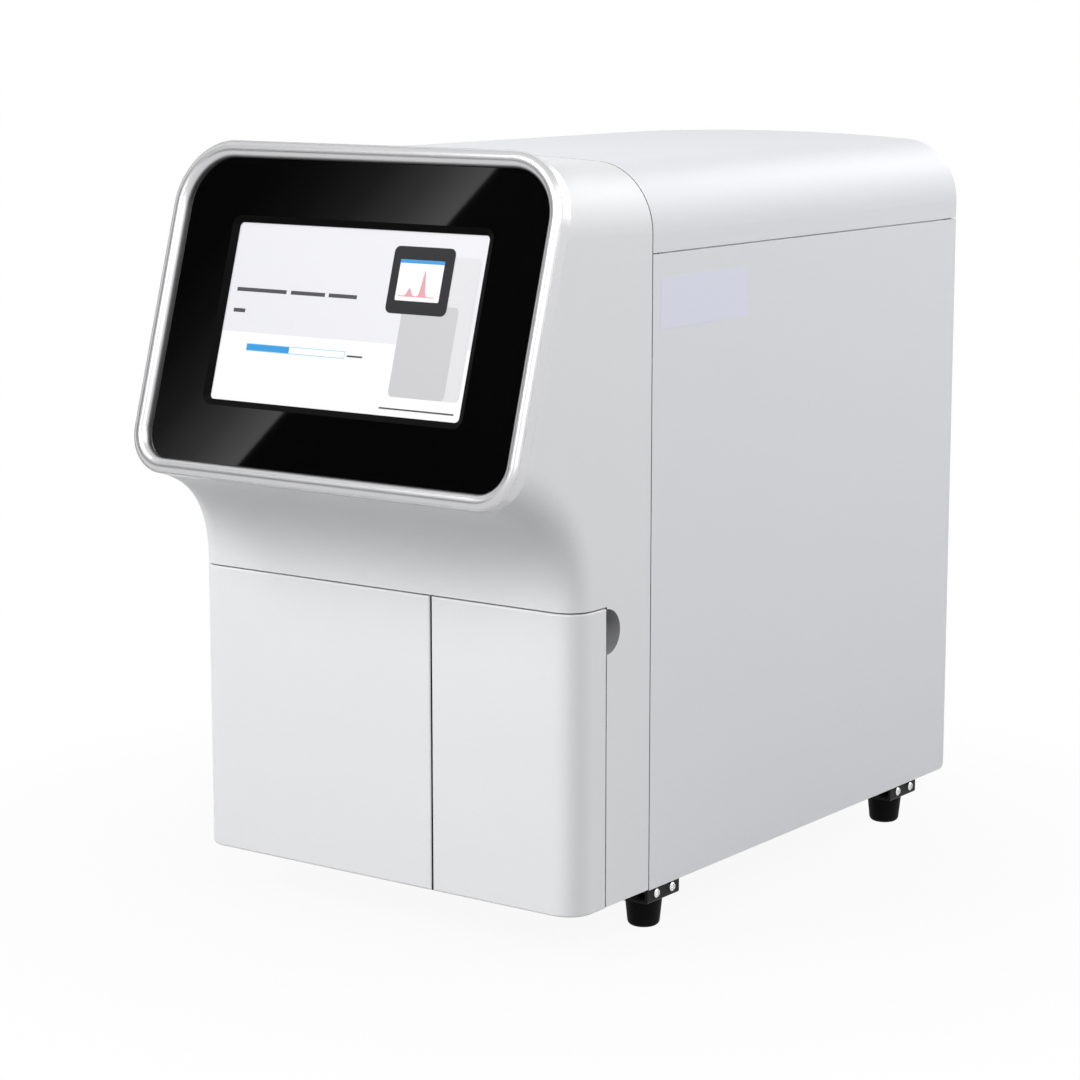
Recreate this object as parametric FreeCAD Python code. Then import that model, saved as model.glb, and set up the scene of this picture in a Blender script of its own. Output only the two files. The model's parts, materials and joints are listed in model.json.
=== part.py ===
import FreeCAD, Part
import math
import os

from FreeCAD import Placement, Rotation, Vector

# Benchtop chromatography analyzer with a tilted touch screen and two doors.
# Lengths are millimetres. x runs left to right, y front to back and z up.
# The pieces are built with y = 0 on the front of the doors and z = 0 at the
# bottom edge of the cabinet, and the finished model is then set on its feet
# with the origin under the middle of its overall box.

# Cabinet
CABINET_WIDTH = 300.0
HALF = CABINET_WIDTH / 2
SEAM_Y = 78.4
REAR_Y = 460.0
TOP_Z = 453.0
SHOULDER_RADIUS = 42.0
SHOULDER_DROP = 45.0
COVER_SEAM_Z = 395.8
SEAM_GAP = 0.8
SHEET = 2.0
FLANGE = 10.0
TOUCH_GAP = 0.3
SCREW_GAP = 0.1

# Screen bezel, set on a plane that leans back
SCREEN_TILT = 16.57
SCREEN_Y = -30.5
SCREEN_Z = 357.1
RING_HALF_HEIGHT = 106.2
RING_WIDTH = 10.2
RING_BACK = 5.0
RING_BAND_FRONT = 3.0
RING_BEAD_TOP = 5.4
RING_STEP = 0.9
RING_TOP_RADIUS = 42.0
RING_BOTTOM_RADIUS = 28.0
FASCIA_GAP = 0.1
WINDOW_WIDTH = 194.4
WINDOW_HEIGHT = 111.8
WINDOW_BEVEL = 4.0
WINDOW_DEPTH = 1.8
WINDOW_RADIUS = 3.0
LCD_BORDER = 6.0
LCD_DEPTH = 9.0
LCD_SEAT = 3.0
BOARD = 1.6
STANDOFF_HEIGHT = 6.0

# Front housing
HOUSING_WALL = 3.0
HOUSING_RISE = 0.035
CHIN_BEND_Y = -20.0
CHIN_BEND_Z = 242.0
CHIN_UPPER_Z = 222.0
CHIN_TOP_RADIUS = 28.0
WING_GAP = 0.8
SCOOP_RADIUS = 14.0
SCOOP_DEPTH = 10.0
SCOOP_WALL = 2.0
SCOOP_DROP = 14.6

# Doors
DOOR_TOP = 186.8
DOOR_SPLIT_X = 0.2707 * HALF
DOOR_GAP = 1.0
DOOR_SIDE_DEPTH = 31.1
DOOR_CORNER = 17.0
DOOR_WALL = 3.0
DOOR_FLANGE = 2.5
DOOR_PAN_DEPTH = 12.0
DOOR_GRIP = 12.0
DOOR_EDGE_ROUND = 1.4
HINGE_INSET = 22.0
HINGE_Y = 6.5
PIN_RADIUS = 1.5
RUNNING_GAP = 0.05
LUG_RADIUS = 3.2
LUG_HEIGHT = 5.0
EAR_HEIGHT = 3.0
EAR_RADIUS = 3.5
STRIKE_WIDTH = 7.0
STRIKE_HEIGHT = 20.0
STRIKE_THICKNESS = 0.6
STRIKE_Z = 95.0
MAGNET_LENGTH = 8.0

# Bay liner behind the doors
LINER_FRONT_Y = 32.0
LINER_WALL = 2.5
LINER_DEPTH = 118.0
LINER_FLOOR_Z = 8.0
LINER_HALF_WIDTH = HALF - 13.0
LINER_BOTTOM_Z = 3.0
LINER_TOP_Z = DOOR_TOP - 0.8
LINER_CEILING_Z = LINER_TOP_Z - 6.5
LINER_FLANGE_TOP = 154.0
RAIL_RIB_WIDTH = 12.0
MULLION_WIDTH = 9.0

# Chassis
TRAY_RIM = 12.0
TRAY_FRONT_Y = 36.0
TAB_INSET = 5.0
PORTAL_OPENING_Z = 320.0
PORTAL_OPENING_HALF = HALF - 11.5
SHELF_Z = 200.0
SHELF_FRONT_Y = 190.0
REAR_PANEL_INSET = 4.0
COVER_LIP = 12.0

# Feet and their brackets
BRACKET_LENGTH = 35.6
BRACKET_DROP = 11.3
BRACKET_REACH = 36.0
BRACKET_SHEET = 2.0
BRACKET_INSET = 4.0
FRONT_FOOT_Y = SEAM_Y + 23.1
REAR_FOOT_Y = REAR_Y - 51.5
FOOT_X = HALF - 19.0
FOOT_TOP_RADIUS = 12.0
FOOT_BOTTOM_RADIUS = 10.0
FOOT_HEIGHT = 19.2
FOOT_ROUND = 3.0
BRACKET_SCREW_PITCH = 17.6
BRACKET_SCREW_Z = -5.2

# Pan head screws
SCREW_HEAD_RADIUS = 3.0
SCREW_HEAD_HEIGHT = 2.0
SCREW_SHANK_RADIUS = 1.5

# Column oven in the left bay
OVEN_WIDTH = 80.0
OVEN_FRONT_Y = 100.0
OVEN_BOTTOM_Z = 100.0
OVEN_HEIGHT = 72.0
OVEN_WALL = 6.0
OVEN_COVER_THICKNESS = 3.2
OVEN_COVER_HEIGHT = 58.0
OVEN_BARREL_RADIUS = 2.4
OVEN_PIN_RADIUS = 1.2
OVEN_LUG_WIDTH = 7.7
COLUMN_RADIUS = 8.0
COLUMN_LENGTH = 46.0
COLUMN_END_RADIUS = 5.0
COLUMN_END_LENGTH = 8.0
COLUMN_Y = 121.0

# Pump head with its purge knob
PUMP_Z = 52.0
PUMP_SIZE = 50.0
PUMP_DEPTH = 26.0
VALVE_RADIUS = 7.0
VALVE_HEIGHT = 9.0
KNOB_OFFSET_X = 14.0
KNOB_RADIUS = 9.0
KNOB_LENGTH = 13.0
KNOB_FLUTES = 12
KNOB_BOSS_LENGTH = 8.0
KNOB_BOSS_RADIUS = 5.5
KNOB_STEM_RADIUS = 2.5

# Injection valve
INJECTOR_BASE = 36.0
INJECTOR_Z = 140.0
INJECTOR_RADIUS = 17.0
INJECTOR_DEPTH = 27.0
PORT_CIRCLE = 10.5
PORT_RADIUS = 3.0
PORT_LENGTH = 6.0
PORT_COUNT = 6

# Syringe dosing unit
SYRINGE_Y = 112.0
SYRINGE_DRIVE_FRONT_Y = 128.0
SYRINGE_DRIVE_WIDTH = 30.0
SYRINGE_DRIVE_BOTTOM = 14.0
SYRINGE_DRIVE_TOP = 122.0
SYRINGE_BARREL_BOTTOM = 70.0
SYRINGE_BARREL_LENGTH = 42.0
SYRINGE_RADIUS = 6.0
SYRINGE_BORE = 4.6
PISTON_GAP = 0.1
PLUNGER_STROKE = 26.0
PLUNGER_BLOCK_Z = 52.0
PLUNGER_BLOCK = 6.0
PLUNGER_ROD = 1.6
TONGUE_WIDTH = 4.0

# Sampler in the right bay
PROBE_INSET = 60.0
PROBE_X = HALF - PROBE_INSET
RACK_WIDTH = 24.0
RACK_FRONT_Y = 40.0
RACK_PITCH = 16.0
RACK_COUNT = 5
RACK_HEIGHT = 52.0
RACK_HOLE_RADIUS = 6.9
RACK_HOLE_FLOOR = 6.0
RACK_GRIP_RADIUS = 5.0
RACK_GRIP_Z = 30.0
WASH_Y = 138.0
WASH_HEIGHT = 62.0
WASH_RADIUS = 9.0
WASH_PORT_RADIUS = 4.5
WASH_PORT_DEPTH = 30.0
WASH_BASE_HEIGHT = 14.0
WASH_BASE_HALF = 11.0
DRAIN_RADIUS = 2.5
DRAIN_RISE = 22.0
DRAIN_REACH = 16.0
RAIL_X = HALF - 30.0
RAIL_BASE_WIDTH = 24.0
RAIL_NECK_WIDTH = 10.0
RAIL_HEAD_WIDTH = 18.0
RAIL_BASE_HEIGHT = 8.0
RAIL_NECK_HEIGHT = 6.0
RAIL_HEAD_HEIGHT = 8.0
SADDLE_WIDTH = 28.0
SADDLE_LENGTH = 28.0
SADDLE_TOP = 6.0
TOWER_LEFT_X = HALF - 50.0
TOWER_WIDTH = 16.0
TOWER_LENGTH = 24.0
TOWER_HEIGHT = 88.0
GUIDE_DEPTH = 4.0
GUIDE_WIDTH = 6.0
ARM_LENGTH = 14.0
ARM_HEIGHT = 12.0
ARM_LEFT_X = PROBE_X - 6.0
ARM_REST_Z = 262.0
NEEDLE_RADIUS = 0.8
NEEDLE_LENGTH = 148.0
NEEDLE_HUB_RADIUS = 2.6
NEEDLE_HUB_LENGTH = 12.0
SLOT_WIDTH = 8.0
MOTOR_SIZE = 28.0
MOTOR_LENGTH = 30.0
MOTOR_PLATE = 3.0
MOTOR_PLUG_HALF = 6.0
MOTOR_PLUG_RISE = 5.0

# Rear fittings
FAN_X = -HALF / 2
FAN_Z = 330.0
FAN_SIZE = 80.0
FAN_DEPTH = 25.0
FAN_BORE = 38.0
FAN_HUB = 16.0
FAN_BLADES = 7
FAN_BLADE_TIP = 36.0
FAN_BLADE_PITCH = 35.0
FAN_SHAFT = 1.5
FAN_HOLE_OFFSET = 35.75
GUARD_WIRE = 1.6
REAR_SCREW_SHANK = 1.6
REAR_SCREW_INSET = 20.0
INLET_X = HALF - 50.0
INLET_Z = 70.0
SWITCH_Z = 112.0
SWITCH_HALF_WIDTH = 6.6
SWITCH_HALF_HEIGHT = 10.5
SWITCH_TILT = 10.0
SWITCH_PIVOT_DEPTH = 5.0
SPIGOT_Z = 60.0
SPIGOT_PITCH = 26.0
SPIGOT_LEFT_X = -0.08 * HALF
SPIGOT_RADIUS = 3.2
SPIGOT_BORE = 1.6
SPIGOT_LENGTH = 14.0
PORTS_X = INLET_X - 30.0
PORTS_Z = 245.0
PORT_SLIM_HEIGHT = 5.7
PORT_STEP = 24.0
PORT_SLIM_PITCH = 20.0
PORT_DEPTH = 14.0
VENT_X = -HALF + 55.0
VENT_Z = 120.0
VENT_COUNT = 9
VENT_PITCH = 9.0
VENT_LENGTH = 70.0
VENT_HEIGHT = 4.0

# Inner modules
MODULE_GAP = 11.5
SUPPLY_LENGTH = 150.0
SUPPLY_WIDTH = 90.0
SUPPLY_HEIGHT = 55.0
SUPPLY_REAR_GAP = 30.0
SUPPLY_SIDE_GAP = 6.0
TERMINAL_LENGTH = 12.0
GEAR_CASE_WIDTH = 64.0
GEAR_CASE_LENGTH = 60.0
PUMP_MOTOR_RADIUS = 26.0
MAIN_BOARD_WIDTH = 150.0
MAIN_BOARD_LENGTH = 110.0
MAIN_BOARD_INSET = 190.0
MAIN_BOARD_X = HALF - MAIN_BOARD_INSET
MAIN_BOARD_REAR_GAP = 26.0
BOARD_HOLE_INSET = 6.0
POST_RADIUS = 2.5
CHIP_HEIGHT = 2.0
CAPACITOR_RADIUS = 5.0
CAPACITOR_HEIGHT = 14.0
HEADER_WIDTH = 8.0
HEADER_LENGTH = 18.0
HEADER_HEIGHT = 9.0
DETECTOR_X = -HALF + 20.0
DETECTOR_WIDTH = 80.0
DETECTOR_LENGTH = 105.0
DETECTOR_HEIGHT = 60.0
DETECTOR_Y = 215.0
CELL_WIDTH = 28.0
CELL_LENGTH = 12.0
CELL_HEIGHT = 32.0
LAMP_RADIUS = 16.0
LAMP_LENGTH = 26.0
DEGASSER_INSET = 130.0
DEGASSER_X = HALF - DEGASSER_INSET
DEGASSER_WIDTH = 100.0
DEGASSER_LENGTH = 80.0
DEGASSER_HEIGHT = 36.0
DEGASSER_Y = 220.0
FITTING_RADIUS = 3.5
FITTING_LENGTH = 8.0
DISPLAY_BOARD_WIDTH = 140.0
DISPLAY_BOARD_HEIGHT = 80.0
SOCKET_LENGTH = 16.0
SOCKET_DEPTH = 8.0
SOCKET_HEIGHT = 6.0

LEDGE_Z = DOOR_TOP + SEAM_GAP
WING_Y = DOOR_SIDE_DEPTH + WING_GAP
WING_X = HALF - HOUSING_WALL
CASE_FRONT_Y = SEAM_Y + SEAM_GAP
INNER_X = HALF - SHEET
REAR_FACE_Y = REAR_Y - REAR_PANEL_INSET + SHEET
REAR_PANEL_Y = REAR_Y - REAR_PANEL_INSET
LINER_BACK_Y = LINER_FRONT_Y + LINER_DEPTH
BAY_LEFT = (-LINER_HALF_WIDTH + LINER_WALL, DOOR_SPLIT_X - MULLION_WIDTH / 2)
BAY_RIGHT = (DOOR_SPLIT_X + MULLION_WIDTH / 2, LINER_HALF_WIDTH - LINER_WALL)
BAY_SPARE = BAY_LEFT[1] - BAY_LEFT[0] - OVEN_WIDTH - INJECTOR_BASE - SYRINGE_DRIVE_WIDTH
BAY_GAP = BAY_SPARE / 4
OVEN_LEFT_X = BAY_LEFT[0] + BAY_GAP
INJECTOR_X = OVEN_LEFT_X + OVEN_WIDTH + BAY_GAP + INJECTOR_BASE / 2
SYRINGE_X = BAY_LEFT[1] - BAY_GAP - SYRINGE_DRIVE_WIDTH / 2
PUMP_X = OVEN_LEFT_X + OVEN_WIDTH / 2
LINER_ROOF_Z = LINER_CEILING_Z + LINER_WALL
SCOOP_Z = DOOR_TOP - SCOOP_DROP
FRONT_HOLE_Y = RACK_FRONT_Y + 10.0
RAIL_TOP_Z = LINER_ROOF_Z + RAIL_BASE_HEIGHT + RAIL_NECK_HEIGHT + RAIL_HEAD_HEIGHT
PUMP_MODULE_Y = LINER_BACK_Y + LINER_WALL
PUMP_MODULE_DEPTH = REAR_PANEL_Y - SHEET - SUPPLY_REAR_GAP - SUPPLY_LENGTH - MODULE_GAP - PUMP_MODULE_Y
RIGHT = 1
LEFT = -1

parts = {}


def box(x0, x1, y0, y1, z0, z1):
    return Part.makeBox(x1 - x0, y1 - y0, z1 - z0, Vector(x0, y0, z0))


def rod(radius, start, end):
    axis = Vector(*end) - Vector(*start)
    return Part.makeCylinder(radius, axis.Length, Vector(*start), axis)


def ring(outer, inner, start, end):
    return rod(outer, start, end).cut(rod(inner, start, end))


def joined(shapes):
    shape = shapes[0].multiFuse(shapes[1:])
    return shape.removeSplitter()


def cut_all(shape, tools):
    return shape.cut(tools) if tools else shape


def line(a, b):
    return Part.LineSegment(Vector(*a), Vector(*b)).toShape()


def arc(a, middle, b):
    return Part.Arc(Vector(*a), Vector(*middle), Vector(*b)).toShape()


def polygon(points):
    corners = [Vector(*p) for p in points]
    return Part.Face(Part.makePolygon(corners + [corners[0]]))


def corner_arc(centre, radius, start, end):
    middle = math.radians((start + end) / 2)
    turn = [math.radians(start), middle, math.radians(end)]
    ends = [(centre[0] + radius * math.cos(a), centre[1] + radius * math.sin(a), 0) for a in turn]
    return arc(*ends)


def rounded_wire(half_width, half_height, top_radius, bottom_radius):
    """A closed outline in the xy plane that starts at the middle of its top."""
    w, h, t, b = half_width, half_height, top_radius, bottom_radius
    edges = [
        line((0, h, 0), (w - t, h, 0)),
        corner_arc((w - t, h - t), t, 90, 0),
        line((w, h - t, 0), (w, -h + b, 0)),
        corner_arc((w - b, -h + b), b, 0, -90),
        line((w - b, -h, 0), (-w + b, -h, 0)),
        corner_arc((-w + b, -h + b), b, -90, -180),
        line((-w, -h + b, 0), (-w, h - t, 0)),
        corner_arc((-w + t, h - t), t, 180, 90),
        line((-w + t, h, 0), (0, h, 0)),
    ]
    return Part.Wire(edges)


def rounded_plate(half_width, half_height, top_radius, bottom_radius, z0, z1):
    face = Part.Face(rounded_wire(half_width, half_height, top_radius, bottom_radius))
    face.translate(Vector(0, 0, z0))
    return face.extrude(Vector(0, 0, z1 - z0))


def on_screen_plane(shape):
    """Set a shape drawn flat, with z out of the screen, onto the tilted plane."""
    turn = Rotation(Vector(1, 0, 0), 90 - SCREEN_TILT)
    shape.Placement = Placement(Vector(0, SCREEN_Y, SCREEN_Z), turn).multiply(shape.Placement)
    return shape


def screen_point(up, out):
    tilt = math.radians(SCREEN_TILT)
    y = SCREEN_Y + up * math.sin(tilt) - out * math.cos(tilt)
    z = SCREEN_Z + up * math.cos(tilt) + out * math.sin(tilt)
    return y, z


def arch_face(inset, y, bottom):
    """The cabinet's cross section: flat sides, round shoulders, a low crown."""
    side = HALF - inset
    centre_x = HALF - SHOULDER_RADIUS
    centre_z = TOP_Z - SHOULDER_DROP
    spread = centre_x**2 + SHOULDER_DROP**2 - SHOULDER_RADIUS**2
    crown_radius = spread / (2 * (SHOULDER_DROP - SHOULDER_RADIUS))
    crown_z = TOP_Z - crown_radius
    lean = math.atan2(centre_x, centre_z - crown_z)
    crown = crown_radius - inset
    meet_x = crown * math.sin(lean)
    meet_z = crown_z + crown * math.cos(lean)
    shoulder = SHOULDER_RADIUS - inset
    half_way = (lean + math.pi / 2) / 2
    mid_x = centre_x + shoulder * math.sin(half_way)
    mid_z = centre_z + shoulder * math.cos(half_way)
    edges = [
        line((side, y, bottom), (side, y, centre_z)),
        arc((side, y, centre_z), (mid_x, y, mid_z), (meet_x, y, meet_z)),
        arc((meet_x, y, meet_z), (0, y, TOP_Z - inset), (-meet_x, y, meet_z)),
        arc((-meet_x, y, meet_z), (-mid_x, y, mid_z), (-side, y, centre_z)),
        line((-side, y, centre_z), (-side, y, bottom)),
        line((-side, y, bottom), (side, y, bottom)),
    ]
    return Part.Face(Part.Wire(edges))


def housing_block(inset, floor_points, rear_y):
    """The front housing's solid form, drawn in side view and trimmed by the arch."""
    x = -HALF + inset
    foot_y, foot_z = screen_point(-RING_HALF_HEIGHT + inset, -RING_BACK - inset)
    head_y, head_z = screen_point(RING_HALF_HEIGHT + SHOULDER_RADIUS, -RING_BACK - inset)
    start_z = floor_points[-1][1]
    chin = Part.BezierCurve()
    chin.setPoles([
        Vector(x, inset, start_z),
        Vector(x, inset, CHIN_UPPER_Z + inset / 2),
        Vector(x, CHIN_BEND_Y + inset / 2, CHIN_BEND_Z + inset),
        Vector(x, foot_y, foot_z),
    ])
    outline = [(rear_y, head_z)] + floor_points
    edges = [line((x, *a), (x, *b)) for a, b in zip(outline, outline[1:])]
    edges.append(chin.toShape())
    edges.append(line((x, foot_y, foot_z), (x, head_y, head_z)))
    edges.append(line((x, head_y, head_z), (x, rear_y, head_z)))
    block = Part.Face(Part.Wire(edges)).extrude(Vector(2 * (HALF - inset), 0, 0))
    reach = 2 * rear_y
    arch = arch_face(inset, rear_y, -reach).extrude(Vector(0, -reach, reach * HOUSING_RISE))
    block = block.common(arch)
    for sign in (LEFT, RIGHT):
        block = round_chin_edge(block, sign * (HALF - inset), inset)
    return block


def round_chin_edge(block, x, inset):
    """Round the curved chin edge at x, from the door corner's radius to the top's."""
    for edge in block.Edges:
        ends = [v.Point for v in edge.Vertexes]
        on_side = all(abs(p.x - x) < 0.01 for p in ends)
        if on_side and edge.Curve.TypeId not in ("Part::GeomLine", "Part::GeomCircle"):
            low_first = edge.valueAt(edge.FirstParameter).z < edge.valueAt(edge.LastParameter).z
            small = DOOR_CORNER - inset
            large = CHIN_TOP_RADIUS - inset
            radii = (small, large) if low_first else (large, small)
            return block.makeFillet(radii[0], radii[1], [edge])
    return block


def front_housing():
    floor = [(SEAM_Y, SEAM_GAP), (WING_Y, SEAM_GAP), (WING_Y, LEDGE_Z), (0, LEDGE_Z)]
    outer = housing_block(0, floor, SEAM_Y)
    wall = HOUSING_WALL
    inner_rear = SEAM_Y + wall
    inner_floor = [(inner_rear, LEDGE_Z + wall), (wall, LEDGE_Z + wall)]
    inner = housing_block(wall, inner_floor, inner_rear)
    below = box(-WING_X, WING_X, WING_Y - 1, inner_rear, 0, LEDGE_Z + wall + 1)
    window = on_screen_plane(rounded_plate(
        WINDOW_WIDTH / 2 + LCD_BORDER + 1, WINDOW_HEIGHT / 2 + LCD_BORDER + 1,
        WINDOW_RADIUS, WINDOW_RADIUS, -RING_BACK - 2 * wall, 0))
    shell = cut_all(outer, [inner, below, window])
    scoops = []
    cups = []
    for sign in (LEFT, RIGHT):
        floor_x = HALF - SCOOP_DEPTH
        axis = [(sign * (floor_x - SCOOP_WALL), WING_Y, SCOOP_Z), (sign * WING_X, WING_Y, SCOOP_Z)]
        cup = rod(SCOOP_RADIUS + SCOOP_WALL, *axis)
        front = box(-HALF, HALF, 0, WING_Y, 0, TOP_Z)
        above = box(-HALF, HALF, 0, SEAM_Y, LEDGE_Z, TOP_Z)
        cups.append(cut_all(cup, [front, above]))
        scoops.append(rod(SCOOP_RADIUS, (sign * floor_x, WING_Y, SCOOP_Z), (sign * HALF, WING_Y, SCOOP_Z)))
    return cut_all(joined([shell] + cups), scoops)


def bezel_ring():
    """A band that stands on the housing, with a round bead on its front."""
    top = RING_HALF_HEIGHT
    inner = top - RING_WIDTH
    bead_mid = top - RING_STEP - (RING_WIDTH - RING_STEP) * 0.45
    section = [
        line((0, top, -RING_BACK), (0, top, RING_BAND_FRONT)),
        line((0, top, RING_BAND_FRONT), (0, top - RING_STEP, RING_BAND_FRONT)),
        arc((0, top - RING_STEP, RING_BAND_FRONT), (0, bead_mid, RING_BEAD_TOP), (0, inner, 0.5)),
        line((0, inner, 0.5), (0, inner, -RING_BACK)),
        line((0, inner, -RING_BACK), (0, top, -RING_BACK)),
    ]
    path = rounded_wire(HALF, RING_HALF_HEIGHT, RING_TOP_RADIUS, RING_BOTTOM_RADIUS)
    body = path.makePipeShell([Part.Wire(section)], True, False)
    return on_screen_plane(body)


def screen_fascia():
    back = -RING_BACK
    half_width = HALF - RING_WIDTH - FASCIA_GAP
    half_height = RING_HALF_HEIGHT - RING_WIDTH - FASCIA_GAP
    inner_top = RING_TOP_RADIUS - RING_WIDTH - FASCIA_GAP
    inner_bottom = RING_BOTTOM_RADIUS - RING_WIDTH - FASCIA_GAP
    plate = rounded_plate(half_width, half_height, inner_top, inner_bottom, back, 0)
    w, h, r = WINDOW_WIDTH / 2, WINDOW_HEIGHT / 2, WINDOW_RADIUS
    opening = rounded_plate(w, h, r, r, back, 0)
    rim = rounded_wire(w + WINDOW_BEVEL, h + WINDOW_BEVEL, r + WINDOW_BEVEL, r + WINDOW_BEVEL)
    base = rounded_wire(w, h, r, r)
    base.translate(Vector(0, 0, -WINDOW_DEPTH))
    bevel = Part.makeLoft([base, rim], True, True)
    seat = rounded_plate(w + LCD_BORDER, h + LCD_BORDER, r, r, back, -LCD_SEAT)
    return on_screen_plane(cut_all(plate, [opening, bevel, seat]))


def lcd_touchscreen():
    w = WINDOW_WIDTH / 2 + LCD_BORDER - TOUCH_GAP
    h = WINDOW_HEIGHT / 2 + LCD_BORDER - TOUCH_GAP
    front = -LCD_SEAT
    panel = rounded_plate(w, h, WINDOW_RADIUS, WINDOW_RADIUS, front - LCD_DEPTH, front)
    flex_exit = box(-20, 20, -h - 4, -h + 2, front - LCD_DEPTH, front - LCD_DEPTH + 1.5)
    return on_screen_plane(joined([panel, flex_exit]))


def display_board():
    back = -LCD_SEAT - LCD_DEPTH - STANDOFF_HEIGHT
    rear = back - BOARD
    w, h = DISPLAY_BOARD_WIDTH / 2, DISPLAY_BOARD_HEIGHT / 2
    plate = box(-w, w, -h, h, rear, back)
    inset = BOARD_HOLE_INSET
    posts = [rod(POST_RADIUS, (x, y, back), (x, y, back + STANDOFF_HEIGHT))
             for x in (-w + inset, w - inset) for y in (-h + inset, h - inset)]
    chips = [chip_below(x * w, y * h, size, rear) for x, y, size in ((-0.4, 0.1, 22), (0.1, 0.1, 14),
                                                                     (0.5, -0.2, 18))]
    sockets = [box(x * w, x * w + SOCKET_LENGTH, -h, -h + SOCKET_DEPTH, rear - SOCKET_HEIGHT, rear)
               for x in (-0.7, -0.35, 0, 0.35)]
    return on_screen_plane(joined([plate] + posts + chips + sockets))


def chip_below(x, y, size, top):
    return box(x - size / 2, x + size / 2, y - size / 2, y + size / 2, top - CHIP_HEIGHT, top)


def top_cover():
    bottom = COVER_SEAM_Z + SEAM_GAP / 2
    outer = arch_face(0, CASE_FRONT_Y, bottom).extrude(Vector(0, REAR_Y - CASE_FRONT_Y, 0))
    hollow = arch_face(SHEET, CASE_FRONT_Y + SHEET + FLANGE,
                       bottom).extrude(Vector(0, REAR_Y - CASE_FRONT_Y, 0))
    mouth = arch_face(SHEET, CASE_FRONT_Y, bottom).extrude(Vector(0, SHEET, 0))
    throat = arch_face(2 * SHEET, CASE_FRONT_Y, bottom).extrude(Vector(0, 2 * FLANGE, 0))
    shell = cut_all(outer, [hollow, mouth, throat])
    lips = [box(*sorted((sign * (INNER_X - SHEET), sign * INNER_X)), CASE_FRONT_Y + FLANGE + SHEET,
                REAR_PANEL_Y - FLANGE, COVER_SEAM_Z - COVER_LIP, COVER_SEAM_Z + COVER_LIP)
            for sign in (LEFT, RIGHT)]
    return joined([shell] + lips)


def side_panel(sign):
    top = COVER_SEAM_Z - SEAM_GAP / 2
    skin = box(INNER_X, HALF, CASE_FRONT_Y, REAR_Y, 0, top)
    rear_low = [e for e in skin.Edges if along(e, "x") and abs(e.CenterOfMass.y - REAR_Y) < 0.01
                and e.CenterOfMass.z < 1]
    skin = skin.makeFillet(5.0, rear_low)
    front = box(INNER_X - FLANGE, INNER_X, CASE_FRONT_Y, CASE_FRONT_Y + SHEET, TRAY_RIM + 2, top - COVER_LIP)
    rear = box(INNER_X - FLANGE, INNER_X, REAR_PANEL_Y - SHEET, REAR_PANEL_Y, TRAY_RIM + 2, top - COVER_LIP)
    panel = joined([skin, front, rear])
    return panel if sign > 0 else panel.mirror(Vector(0, 0, 0), Vector(1, 0, 0))


def along(edge, axis):
    ends = edge.Vertexes
    if len(ends) != 2:
        return False
    step = ends[1].Point - ends[0].Point
    return abs(abs(getattr(step, axis)) - step.Length) < 0.001


def rear_panel():
    plate = arch_face(SHEET + TOUCH_GAP, REAR_PANEL_Y, SHEET + 1).extrude(Vector(0, SHEET, 0))
    y0, y1 = REAR_PANEL_Y - 1, REAR_FACE_Y + 1
    tools = [rod(FAN_BORE, (FAN_X, y0, FAN_Z), (FAN_X, y1, FAN_Z))]
    for x, z in fan_corners():
        tools.append(rod(SCREW_SHANK_RADIUS + SCREW_GAP, (x, y0, z), (x, y1, z)))
    for x, z in rear_screw_places():
        tools.append(rod(SCREW_SHANK_RADIUS + SCREW_GAP, (x, y0, z), (x, y1, z)))
    for i in range(VENT_COUNT):
        z = VENT_Z + i * VENT_PITCH
        tools.append(slot(VENT_X, z, VENT_LENGTH, VENT_HEIGHT, y0, y1))
    tools.append(box(INLET_X - 14.5, INLET_X + 14.5, y0, y1, INLET_Z - 11, INLET_Z + 11))
    tools.append(box(INLET_X - 9.2, INLET_X + 9.2, y0, y1, SWITCH_Z - 14.2, SWITCH_Z + 14.2))
    for x, z, w, h in port_places():
        tools.append(box(x - w / 2 - 0.3, x + w / 2 + 0.3, y0, y1, z - h / 2 - 0.3, z + h / 2 + 0.3))
    for x in spigot_places():
        tools.append(rod(SPIGOT_RADIUS + 1.5, (x, y0, SPIGOT_Z), (x, y1, SPIGOT_Z)))
    return cut_all(plate, tools)


def slot(x, z, length, height, y0, y1):
    radius = height / 2
    middle = box(x - length / 2, x + length / 2, y0, y1, z - radius, z + radius)
    ends = [rod(radius, (x + side * length / 2, y0, z), (x + side * length / 2, y1, z)) for side in (-1, 1)]
    return joined([middle] + ends)


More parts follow.
